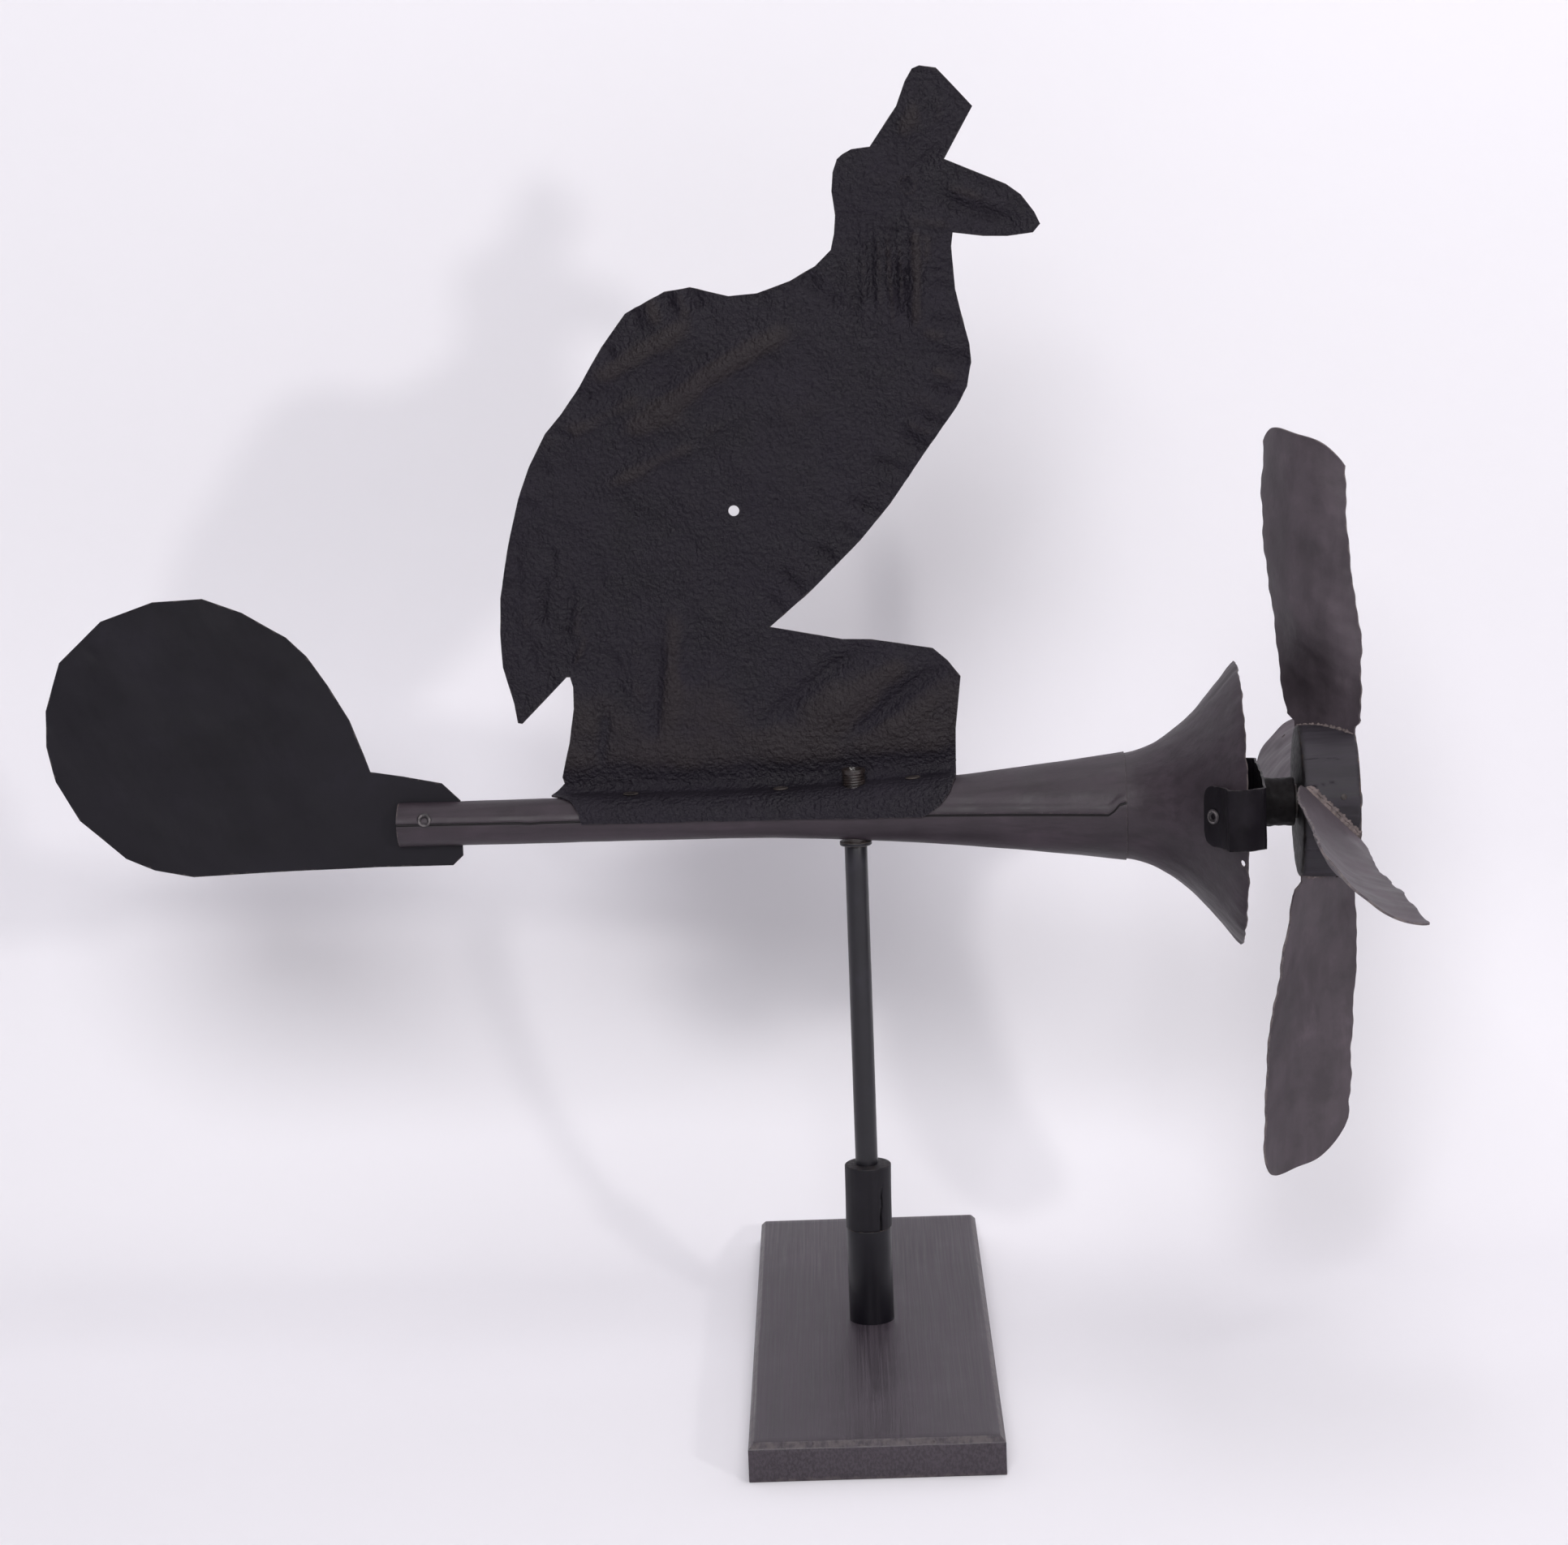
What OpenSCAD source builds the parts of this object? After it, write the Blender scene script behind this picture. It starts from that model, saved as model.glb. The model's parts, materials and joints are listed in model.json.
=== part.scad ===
// Sheet-iron whirligig: a bird in a top hat riding a trumpet horn that swivels on
// a table stand, with a four-bladed propeller at the horn's mouth.
// Origin: underside of the base board, on the swivel axis. +X is the way the horn
// points with the head square to the board, +Z is up.

/* [Stand] */
// Length of the base board, front to back
base_len = 380; // [300:1:460]
// Width of the base board, along the horn
base_wid = 134; // [110:1:180]
// Thickness of the base board
base_thick = 21; // [16:0.5:30]
// Chamfer along the board's top edges
base_chamfer = 3; // [1:0.5:6]
// Diameter of the lower post
post_d = 25.4; // [22:0.1:30]
// Height of the lower post's top above the table
post_top = 76; // [60:1:90]
// Diameter of the wooden sleeve on the post
sleeve_d = 26.2; // [24:0.1:32]
// Height of the sleeve's top above the table
sleeve_top = 113; // [100:1:140]
// Diameter of the spindle rod
rod_d = 12.7; // [12:0.1:14]
// Height of the rod's shoulder, which carries the head
shoulder_height = 298; // [280:0.5:320]
// Diameter of the spigot turned on the rod's top end
spigot_d = 8; // [6:0.1:8.5]

/* [Horn] */
// Height of the horn's axis above the rod's shoulder
horn_rise = 18; // [17.8:0.1:20]
// Diameter of the horn's small end
tube_d = 25; // [22:0.5:28]
// Distance of the small end behind the swivel axis
tube_back = 256; // [230:1:280]
// Distance of the bell joint in front of the swivel axis
joint_ahead = 150; // [140:1:160]
// Diameter of the horn at the bell joint
joint_d = 60.4; // [56:0.2:64]
// Distance of the bell's rim in front of the swivel axis
rim_ahead = 212.5; // [208:0.5:216]
// Diameter of the bell's rim
rim_d = 157; // [140:1:165]
// Thickness of the horn's sheet
horn_sheet = 0.8; // [0.6:0.1:1.2]

/* [Bird] */
// How far the bird's sheet stands behind the horn's axis
bird_set_back = 10; // [9:0.5:12]
// Thickness of the bird's sheet
bird_sheet = 1; // [0.8:0.1:1.4]
// Inside bend radius between the bird and its foot flange
foot_bend = 5.5; // [4:0.5:7]
// Thickness of the tail vane
vane_sheet = 0.8; // [0.6:0.1:1]

/* [Propeller] */
// Diameter of the wooden hub
hub_d = 84; // [76:1:90]
// Length of the hub along its axle
hub_len = 31; // [28:0.5:34]
// Distance of the hub's rear face in front of the swivel axis
hub_ahead = 245; // [244:0.5:250]
// Radius of the propeller at the blade tips
blade_reach = 206; // [180:1:212]
// Half the chord of a blade near its tip
blade_half = 31; // [27:0.5:33]
// How deeply each blade is cupped
blade_cup = 9; // [4:0.5:12]
// Thickness of a blade
blade_sheet = 1.2; // [0.8:0.1:1.4]
// Diameter of the axle bolt
axle_d = 6.35; // [6:0.05:6.5]

/* [Rest position] */
// Turn of the head about the post, in degrees
rest_turn = -2.4; // [-180:0.1:180]

/* [Hidden] */

$fn = 96;
gap = 0.05;            // clearance of a part that turns on its pin
snug = 0.1;            // gap between sheets that are riveted together
flange_gap = 0.25;     // gap between the horn and the foot flange on it
through = 60;          // a cutter that long passes right through a sheet
sheet_hole_r = 2.5;    // hole for a rivet's shank

axis_height = shoulder_height + horn_rise;
socket_depth = 12;
plug_h = 1.6;
screw_head_h = 3;
screw_recess = 6.4;
screw_recess_r = 9;
washer_h = 1.2;
rod_bottom = base_thick - socket_depth;

tube_r = tube_d / 2;
joint_r = joint_d / 2;
rim_r = rim_d / 2;
flare_start = -80;     // the horn is a plain tube up to here
bell_lap = 5;          // length of bell neck inside the horn's end
neck_r = joint_r - horn_sheet - snug;
bush_r = 6.6;
bush_top = axis_height + 25;
collar_r = 9;
collar_top = axis_height - horn_r(collar_r) - 2 * snug;
slit_end = -220.5;

strap_x = 226;
strap_t = 1.2;
strap_w = 33;
strap_roll = -4;       // the strap sits a little askew across the mouth
spool_r = 13.8;
hub_mid = hub_ahead + hub_len / 2;
hub_r = hub_d / 2;
axle_r = axle_d / 2;
kerf_floor = 28;
kerf_w = blade_sheet + 0.2;
kerf_half = 21;
nail_r = 0.9;
nail_len = 20;
rivet_hole_r = 1.5;

// Outer radius of the horn at a distance x along its axis
function horn_r(x) = tube_r + (joint_r - tube_r)
    * pow(max(0, x - flare_start) / (joint_ahead - flare_start), 1.8);

// Point at t on a cubic Bezier curve
function bezier(p, t) = pow(1 - t, 3) * p[0] + 3 * pow(1 - t, 2) * t * p[1]
    + 3 * (1 - t) * t * t * p[2] + t * t * t * p[3];
function bell_curve(n) = [for (i = [0:n]) bezier([[joint_ahead, neck_r], [183, 34],
    [203, rim_r - 7.5], [rim_ahead, rim_r]], i / n)];

// Unit normal, on the left, of a path at point i
function path_normal(p, i) = let (d = p[min(i + 1, len(p) - 1)] - p[max(i - 1, 0)])
    [-d[1], d[0]] / norm(d);
// Closed outline of a strip of thickness t that follows a path
function strip(p, t) = concat([for (i = [0:len(p) - 1]) p[i] + path_normal(p, i) * t / 2],
    [for (i = [len(p) - 1:-1:0]) p[i] - path_normal(p, i) * t / 2]);

// Faces of a sheet made of an outer and an inner grid of rows by cols points
function sheet_faces(rows, cols) = let (m = rows * cols) concat(
    [for (i = [0:rows - 2]) for (j = [0:cols - 2]) let (a = i * cols + j)
        for (f = [[a, a + 1, a + cols + 1], [a, a + cols + 1, a + cols]]) f],
    [for (i = [0:rows - 2]) for (j = [0:cols - 2]) let (a = m + i * cols + j)
        for (f = [[a, a + cols + 1, a + 1], [a, a + cols, a + cols + 1]]) f],
    [for (j = [0:cols - 2]) for (f = [[j, m + j, m + j + 1], [j, m + j + 1, j + 1]]) f],
    [for (j = [0:cols - 2]) let (a = (rows - 1) * cols + j)
        for (f = [[a, m + a + 1, m + a], [a, a + 1, m + a + 1]]) f],
    [for (i = [0:rows - 2]) let (a = i * cols)
        for (f = [[a, m + a + cols, m + a], [a, a + cols, m + a + cols]]) f],
    [for (i = [0:rows - 2]) let (a = i * cols + cols - 1)
        for (f = [[a, m + a, m + a + cols], [a, m + a + cols, a + cols]]) f]);

// ---- placing ----

// Everything on the head: x runs along the horn's axis, z is height above it
module on_head() {
    rotate([0, 0, rest_turn]) translate([0, 0, axis_height]) children();
}
// Turns a solid drawn about +Z to lie along the horn's axis
module along_horn() {
    rotate([0, 90, 0]) children();
}
// A ring or disc about the horn's axis between two distances
module disc(x0, x1, r, hole = 0) {
    translate([x0, 0, 0]) along_horn() difference() {
        cylinder(h = x1 - x0, r = r);
        if (hole > 0) translate([0, 0, -1]) cylinder(h = x1 - x0 + 2, r = hole);
    }
}
// A hollow rivet along +Z: a flange above z = 0 and another below -grip
module hollow_rivet(grip, r = 2.4, head_r = 4.1, head_h = 0.8) {
    difference() {
        union() {
            translate([0, 0, -grip - head_h]) cylinder(h = grip + 2 * head_h, r = r);
            cylinder(h = head_h, r = head_r);
            translate([0, 0, -grip - head_h]) cylinder(h = head_h, r = head_r);
        }
        translate([0, 0, -grip - 2]) cylinder(h = grip + 4, r = rivet_hole_r);
    }
}

// ---- stand ----

module chamfered_bar(w, h, c, long) {
    rotate([90, 0, 0]) linear_extrude(height = long, center = true)
        polygon([[-w / 2, 0], [w / 2, 0], [w / 2, h - c], [w / 2 - c, h], [c - w / 2, h], [-w / 2, h - c]]);
}

module base_board() {
    color([0.09, 0.09, 0.10]) difference() {
        intersection() {
            chamfered_bar(base_wid, base_thick, base_chamfer, base_len + 2);
            rotate([0, 0, 90]) chamfered_bar(base_len, base_thick, base_chamfer, base_wid + 2);
        }
        translate([0, 0, rod_bottom]) cylinder(h = base_thick, r = post_d / 2 + gap);
        translate([0, 0, -1]) cylinder(h = base_thick, r = 3.4);
        translate([0, 0, -1]) cylinder(h = screw_recess + 1, r = screw_recess_r);
    }
}

// A flush wooden plug that hides the screw and gives the board a whole underside
module base_plug() {
    color([0.09, 0.09, 0.10]) cylinder(h = plug_h, r = screw_recess_r - gap);
}

module base_washer() {
    color("silver") translate([0, 0, screw_recess - washer_h]) difference() {
        cylinder(h = washer_h, r = 8);
        translate([0, 0, -1]) cylinder(h = washer_h + 2, r = 3.3);
    }
}

module base_screw() {
    color("silver") union() {
        translate([0, 0, screw_recess - washer_h - screw_head_h]) cylinder(h = screw_head_h, r = 5.6, $fn = 6);
        translate([0, 0, screw_recess - washer_h - 0.1]) cylinder(h = 26, r = 3.175);
    }
}

module lower_post() {
    color([0.07, 0.07, 0.08]) translate([0, 0, rod_bottom]) difference() {
        cylinder(h = post_top - rod_bottom, r = post_d / 2);
        translate([0, 0, -1]) cylinder(h = post_top, r = rod_d / 2 + gap);
    }
}

module upper_sleeve() {
    color([0.10, 0.09, 0.09]) translate([0, 0, post_top]) difference() {
        cylinder(h = sleeve_top - post_top, r = sleeve_d / 2);
        translate([0, 0, -1]) cylinder(h = sleeve_top, r = rod_d / 2 + gap);
    }
}

module spindle_rod() {
    color([0.08, 0.08, 0.09]) difference() {
        union() {
            translate([0, 0, rod_bottom]) cylinder(h = shoulder_height - rod_bottom, r = rod_d / 2);
            translate([0, 0, shoulder_height - 1]) cylinder(h = bush_top - 4 - shoulder_height, r = spigot_d / 2);
        }
        translate([0, 0, rod_bottom - 1]) cylinder(h = 24, r = 3.2);
    }
}

// ---- head: pivot, horn, bird and tail ----

// A threaded bush that turns on the rod's spigot
module pivot_bush() {
    pitch = 1.4;
    turns = 6;
    thread_z = bush_top - pitch * turns;
    color([0.24, 0.15, 0.10]) rotate([0, 0, rest_turn]) rotate_extrude() polygon(concat(
        [[spigot_d / 2 + gap, bush_top], [spigot_d / 2 + gap, shoulder_height], [bush_r, shoulder_height]],
        [for (i = [0:turns - 1]) for (k = [[0, 0], [0.5, 0.5]])
            [bush_r - k[0], thread_z + (i + k[1]) * pitch]],
        [[bush_r, bush_top]]));
}

module bush_collar() {
    h = collar_top - shoulder_height;
    edge = 0.3 * h;
    color([0.07, 0.07, 0.08]) rotate([0, 0, rest_turn]) translate([0, 0, shoulder_height])
        rotate_extrude() polygon([[bush_r + gap, 0], [collar_r - edge, 0], [collar_r, edge],
            [collar_r, h - edge], [collar_r - edge, h], [bush_r + gap, h]]);
}

module bush_hole() {
    translate([0, 0, -30]) cylinder(h = through, r = bush_r + snug);
}

module flange_rivet_places() {
    for (x = [-125, -41, 33]) translate([x, 1, horn_r(x) + flange_gap + bird_sheet]) children();
}

module tail_rivet_place() {
    translate([-240, -tube_r, 4.5]) rotate([90, 0, 0]) children();
}

module horn_tube() {
    steps = 20;
    outer = concat([[tube_r, -tube_back]], [for (i = [0:steps])
        let (x = flare_start + (joint_ahead - flare_start) * i / steps) [horn_r(x), x]]);
    color([0.13, 0.12, 0.13]) on_head() difference() {
        along_horn() rotate_extrude() polygon(concat(outer,
            [for (i = [len(outer) - 1:-1:0]) outer[i] - [horn_sheet, 0]]));
        bush_hole();
        translate([-tube_back - 1, -vane_sheet / 2 - gap, -20])
            cube([slit_end + tube_back + 1, vane_sheet + 2 * gap, 40]);
        flange_rivet_places() translate([0, 0, -4]) cylinder(h = 8, r = sheet_hole_r);
        tail_rivet_place() translate([0, 0, -through / 2]) cylinder(h = through, r = sheet_hole_r);
    }
}

module horn_bell() {
    neck_end = joint_ahead - bell_lap;
    outer = concat([[neck_end, horn_r(neck_end) - horn_sheet - snug]], bell_curve(18));
    color([0.14, 0.13, 0.14]) on_head() difference() {
        along_horn() rotate_extrude() polygon(concat([for (p = outer) [p[1], p[0]]],
            [for (i = [len(outer) - 1:-1:0]) [outer[i][1] - horn_sheet, outer[i][0]]]));
        strap_rivet_places() translate([0, 0, -8]) cylinder(h = 16, r = sheet_hole_r);
    }
}

// Half of the strap's path seen from above, from a leg's end to the middle
strap_leg = [[190.4, -54.7], [197.4, -62.2], [203.2, -71.8]];
strap_bend = [for (a = [120:-15:0]) [213 + 13 * cos(a), -68 - 13 * sin(a)]];

module strap_rivet_places() {
    rotate([strap_roll, 0, 0]) for (side = [0, 1]) mirror([0, side, 0])
        translate([195.3, -60, 0]) rotate([0, 0, -47]) rotate([90, 0, 0])
            translate([0, 0, strap_t / 2 + 3 * snug]) children();
}

module strap_bracket() {
    half = concat(strap_leg, strap_bend);
    path = concat(half, [for (i = [len(half) - 1:-1:0]) [half[i][0], -half[i][1]]]);
    color([0.12, 0.12, 0.13]) on_head() difference() {
        rotate([strap_roll, 0, 0]) linear_extrude(height = strap_w, center = true)
            polygon(strip(path, strap_t));
        disc(strap_x - 5, strap_x + 5, axle_r + gap);
        strap_rivet_places() translate([0, 0, -8]) cylinder(h = 16, r = sheet_hole_r);
    }
}

module strap_rivets() {
    color([0.16, 0.15, 0.15]) on_head() strap_rivet_places() hollow_rivet(grip = 3.1);
}

// The foot flange: from the bend at the bird's foot (u = 0), forward over the top of
// the horn and down its front (u = 1). Returns [y, z, normal y, normal z].
function foot_section(u, r) = let (
    m = r + flange_gap + bird_sheet / 2,
    b = foot_bend + bird_sheet / 2,
    a = 90 * (u - 0.4) / 0.6,
    q = 90 * (1 - u / 0.3))
    u < 0.01 ? [bird_set_back, m + b + 1, -1, 0] :
    u <= 0.3 ? [bird_set_back - b + b * sin(q), m + b - b * cos(q), -sin(q), cos(q)] :
    u < 0.4 ? [0, m, 0, 1] : [-m * sin(a), m * cos(a), -sin(a), cos(a)];
function foot_left(u) = lookup(u, [[0, -163], [0.3, -169], [0.4, -168], [0.6, -159], [1, -152]]);
function foot_right(u) = lookup(u, [[0, 57], [0.5, 57], [0.7, 54], [0.88, 47], [1, 40]]);

module foot_flange() {
    us = [0, 0.02, 0.1, 0.2, 0.3, 0.4, 0.5, 0.6, 0.7, 0.8, 0.9, 1];
    cols = 12;
    function foot_grid(side) = [for (u = us) for (j = [0:cols - 1]) let (
        x = foot_left(u) + (foot_right(u) - foot_left(u)) * j / (cols - 1),
        s = foot_section(u, horn_r(x)))
        [x, s[0] + side * s[2] * bird_sheet / 2, s[1] + side * s[3] * bird_sheet / 2]];
    polyhedron(points = concat(foot_grid(1), foot_grid(-1)), faces = sheet_faces(len(us), cols));
}

// The bird's outline, as x along the horn and height above its axis. The sheet was cut with
// snips in short straight cuts, so it keeps its corners.
bird_lap = [[57, 26], [57.5, 45], [61, 74], [54, 83], [46, 90], [12, 96], [-4, 96.5], [-44, 104.5]];
bird_breast = [[-20, 124.5], [8, 151.5], [25, 171], [44, 197.5], [63, 223], [69, 234], [71.5, 247],
    [71, 257], [68, 269], [64, 287], [62.5, 310]];
bird_beak = [[63.5, 317.5], [80, 315], [93, 314.5], [107, 316], [111, 320.5], [108, 327], [101, 336.5],
    [93, 342.5], [60, 357]];
bird_hat = [[76, 384.5], [63, 399], [57, 405.5], [48, 407], [44, 405.5], [40, 399], [35, 386], [20, 365]];
bird_nape = [[10, 364], [5, 361.5], [2, 359], [-0.5, 352], [-1.5, 342], [0, 329], [-1, 319], [-3, 310.5],
    [-12, 302], [-26, 294.5], [-44, 288.5], [-60, 287.5], [-81, 293]];
bird_back = [[-95, 291], [-117, 280], [-131, 262], [-144, 241], [-155, 226], [-164, 216], [-174, 198],
    [-181, 180], [-188, 155], [-194, 125], [-195, 105], [-194.5, 86], [-189, 65], [-187.5, 54.5], [-185, 54]];
bird_rump = [[-159, 79.5], [-157, 79.5], [-155.5, 74], [-155.5, 62], [-159, 42], [-164, 23]];

module bird_sheet_iron() {
    foot_line = [for (i = [0:12]) let (x = -163 + 220 * i / 12)
        [x, horn_r(x) + flange_gap + bird_sheet + foot_bend + 0.5]];
    outline = concat(bird_lap, bird_breast, bird_beak, bird_hat, bird_nape, bird_back, bird_rump, foot_line);
    color([0.11, 0.11, 0.12]) on_head() difference() {
        union() {
            translate([0, bird_set_back + bird_sheet / 2, 0]) rotate([90, 0, 0])
                linear_extrude(height = bird_sheet) polygon(outline);
            foot_flange();
        }
        translate([-61.5, 0, 170]) rotate([-90, 0, 0]) cylinder(h = through, r = 3);
        bush_hole();
        flange_rivet_places() translate([0, 0, -4]) cylinder(h = 8, r = sheet_hole_r);
    }
}

module flange_rivets() {
    color([0.12, 0.12, 0.12]) on_head() flange_rivet_places() translate([0, 0, 0.5]) union() {
        translate([0, 0, -4.6]) cylinder(h = 5, r = 2.4);
        cylinder(h = 0.8, r = 4.2);
        translate([0, 0, -4.6]) cylinder(h = 0.8, r = 3.6);
    }
}

// The tail vane's outline, as x along the horn and height above its axis, in straight cuts
vane_disc = [[-271, 30.5], [-274, 40], [-281, 60], [-292, 80], [-303, 97], [-314, 108], [-320, 111.5],
    [-338, 122.5], [-360, 131], [-388, 130], [-418, 120], [-443, 97.5], [-453, 70], [-454, 50], [-450, 30],
    [-438, 7], [-413, -15.5], [-397, -22.5], [-375, -27], [-317, -25], [-269, -24], [-227, -24]];
vane_tongue = [[-221, -18.5], [-221, 13], [-231, 23], [-253, 27.5]];

module tail_vane() {
    color([0.10, 0.10, 0.11]) on_head() difference() {
        translate([0, vane_sheet / 2, 0]) rotate([90, 0, 0])
            linear_extrude(height = vane_sheet) polygon(concat(vane_disc, vane_tongue));
        tail_rivet_place() translate([0, 0, -through / 2]) cylinder(h = through, r = sheet_hole_r);
    }
}

module tail_rivet() {
    color([0.16, 0.15, 0.15]) on_head() tail_rivet_place() hollow_rivet(grip = tube_d);
}

// ---- axle ----

spool_start = strap_x + strap_t / 2;
spool_end = hub_ahead - 1.8;
washer_gap = 0.2;
washer_t = 1.2;
nut_h = 5.5;
bolt_seat = hub_ahead + hub_len + washer_gap + washer_t;

// The bolt's low round head is in front of the hub, and its nut is behind the strap
module axle_bolt() {
    color([0.18, 0.16, 0.15]) on_head() union() {
        disc(strap_x - strap_t / 2 - nut_h - 2, bolt_seat + 0.5, axle_r);
        along_horn() translate([0, 0, bolt_seat]) rotate_extrude()
            polygon([[0, 0], [6.8, 0], [6.6, 1.4], [5.4, 2.6], [3, 3.4], [0, 3.6]]);
    }
}

module spool_spacer() {
    color([0.16, 0.12, 0.10]) on_head() disc(spool_start, spool_end, spool_r, axle_r + gap);
}

module rear_washer() {
    color([0.2, 0.18, 0.16]) on_head()
        disc(spool_end, hub_ahead - washer_gap, 9.5, axle_r + gap);
}

module front_washer() {
    color([0.2, 0.18, 0.16]) on_head() disc(bolt_seat - washer_t, bolt_seat, 9.5, axle_r + gap);
}

module axle_nut() {
    color([0.18, 0.16, 0.15]) on_head() translate([strap_x - strap_t / 2 - nut_h, 0, 0]) along_horn()
        difference() {
            cylinder(h = nut_h, r = 6.4, $fn = 6);
            translate([0, 0, -1]) cylinder(h = nut_h + 2, r = axle_r + gap / 2);
        }
}

// ---- propeller ----

// Each blade is drawn pointing up and turned about the axle to its place
turn_top = 0;
turn_near = 90;
turn_bottom = 180;
turn_far = 270;

// A nail driven askew through the rim of the hub and the root of a blade
module nail(turn) {
    rotate([turn, 0, 0]) translate([hub_mid + 6, 9.5, sqrt(hub_r * hub_r - 90.25) - 0.3])
        rotate([0, 0, 45]) rotate([0, -136, 0]) cylinder(h = nail_len, r = nail_r);
}

module hub() {
    edge = 1.2;
    color([0.10, 0.09, 0.10]) on_head() difference() {
        along_horn() translate([0, 0, hub_ahead]) rotate_extrude() polygon([[axle_r + gap, 0],
            [hub_r - edge, 0], [hub_r, edge], [hub_r, hub_len - edge], [hub_r - edge, hub_len],
            [axle_r + gap, hub_len]]);
        for (turn = [turn_top, turn_near, turn_bottom, turn_far]) {
            rotate([turn, 0, 0]) translate([hub_mid, 0, kerf_floor]) rotate([0, 0, -45])
                translate([-through / 2, -kerf_w / 2, 0]) cube([through, kerf_w, through]);
            nail(turn);
        }
    }
}

function ease(t) = let (s = min(max(t, 0), 1)) s * s * (3 - 2 * s);

// Each blade was bent by hand, so each has its own lists from hub to tip: lean along the axle,
// bend across it, pitch angle, and half the chord as a part of blade_half. The last list is how
// far the middle of the tip, its corners and its slant are from the blade's reach.
module blade(turn, lean, bend, pitch, half, ends) {
    rows = 15;
    cols = 9;
    // Inside the hub the root just fills the saw kerf, flat and narrow up to the collar, and it
    // reaches its full chord at the shoulder
    root = kerf_floor + 0.5;
    collar = hub_r + 1;
    shoulder = hub_r + 4;
    function along(list, s) = lookup(s, [for (i = [0:4]) [i / 4, list[i]]]);
    function tip(v) = blade_reach + ends[0] - ends[1] * pow(abs(v), 4) + ends[2] * v;
    function reach(i, v) = i < 3 ? [root, collar, shoulder][i]
        : shoulder + (tip(v) - shoulder) * (i - 2) / (rows - 3);
    function half_chord(i, s) = i < 2 ? kerf_half : along(half, s) * blade_half;
    function point(i, j, side) = let (
        v = 2 * j / (cols - 1) - 1,
        r = reach(i, v),
        s = max(0, r - collar) / (blade_reach - collar),
        c = v * half_chord(i, s),
        w = blade_cup * ease((r - hub_r - 4) / 60) * (v * v - 0.4) + side * blade_sheet / 2,
        a = along(pitch, s))
        [hub_mid + c * cos(a) + w * sin(a) + along(lean, s), w * cos(a) - c * sin(a) + along(bend, s), r];
    on_head() difference() {
        rotate([turn, 0, 0]) polyhedron(points = concat(
            [for (i = [0:rows - 1]) for (j = [0:cols - 1]) point(i, j, 1)],
            [for (i = [0:rows - 1]) for (j = [0:cols - 1]) point(i, j, -1)]),
            faces = sheet_faces(rows, cols));
        nail(turn);
    }
}

module blade_top() {
    color([0.13, 0.12, 0.12]) blade(turn_top, [0, -5, -11, -13.5, -13], [0, 0, 0, 0, 0],
        [45, 46, 48, 49, 49], [0.81, 0.97, 1, 1, 0.97], [-2, 12, -5.5]);
}

module blade_near() {
    color([0.15, 0.13, 0.14]) blade(turn_near, [0, -3, -2.5, -1, 1.5], [0, -6, -8, -8.5, -8],
        [45, 43, 40, 38, 38], [0.81, 0.9, 0.94, 0.97, 1.1], [0, 10, 6]);
}

module blade_bottom() {
    color([0.13, 0.12, 0.12]) blade(turn_bottom, [0, -7, -12, -15, -17], [0, 0, 0, 0, 0],
        [45, 43, 39, 38, 38], [0.81, 0.97, 1.03, 1.03, 1], [6, 22, -4]);
}

module blade_far() {
    color([0.14, 0.13, 0.13]) blade(turn_far, [0, -2, -4, -6, -7], [0, 0, 0, 0, 0],
        [45, 45, 45, 45, 45], [0.81, 0.97, 1, 1, 0.97], [0, 15, -4]);
}

module blade_nails() {
    color([0.2, 0.17, 0.15]) on_head() for (turn = [turn_top, turn_near, turn_bottom, turn_far])
        nail(turn);
}

base_board();
base_plug();
base_washer();
base_screw();
lower_post();
upper_sleeve();
spindle_rod();
pivot_bush();
bush_collar();
horn_tube();
horn_bell();
strap_bracket();
strap_rivets();
bird_sheet_iron();
flange_rivets();
tail_vane();
tail_rivet();
axle_bolt();
spool_spacer();
rear_washer();
front_washer();
axle_nut();
hub();
blade_top();
blade_near();
blade_bottom();
blade_far();
blade_nails();
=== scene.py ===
"""Builds a sheet-iron whirligig, a hatted bird on a trumpet horn, as a set of sidebar operators."""
import json
import math

import bpy
import numpy as np
from bpy.props import FloatProperty, FloatVectorProperty, PointerProperty
from mathutils import Matrix, Vector, geometry


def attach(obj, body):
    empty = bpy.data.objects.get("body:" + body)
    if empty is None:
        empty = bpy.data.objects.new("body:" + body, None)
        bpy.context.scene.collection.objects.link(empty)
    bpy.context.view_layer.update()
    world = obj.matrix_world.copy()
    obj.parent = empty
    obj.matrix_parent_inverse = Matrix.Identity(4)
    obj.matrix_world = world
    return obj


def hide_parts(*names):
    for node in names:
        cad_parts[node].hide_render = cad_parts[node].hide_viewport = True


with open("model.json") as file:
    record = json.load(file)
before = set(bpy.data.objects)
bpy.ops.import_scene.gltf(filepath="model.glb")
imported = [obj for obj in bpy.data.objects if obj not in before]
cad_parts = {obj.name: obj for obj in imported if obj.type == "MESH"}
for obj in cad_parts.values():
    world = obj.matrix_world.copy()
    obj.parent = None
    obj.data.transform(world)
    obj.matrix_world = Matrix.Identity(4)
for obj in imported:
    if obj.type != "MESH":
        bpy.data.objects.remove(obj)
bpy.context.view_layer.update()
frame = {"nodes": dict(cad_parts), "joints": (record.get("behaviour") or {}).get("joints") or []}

bl_info = {
    "name": "Sheet-Iron Whirligig",
    "version": (1, 0, 0),
    "blender": (4, 5, 0),
    "location": "3D View > Sidebar > Whirligig",
    "description": "A sheet-iron bird on a trumpet horn that swivels, with a four-bladed propeller",
    "category": "Add Mesh",
}

MM = 0.001
SPIN = next(j for j in frame["joints"] if j["name"] == "spin")

# ---------------------------------------------------------------- frames and measures

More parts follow.
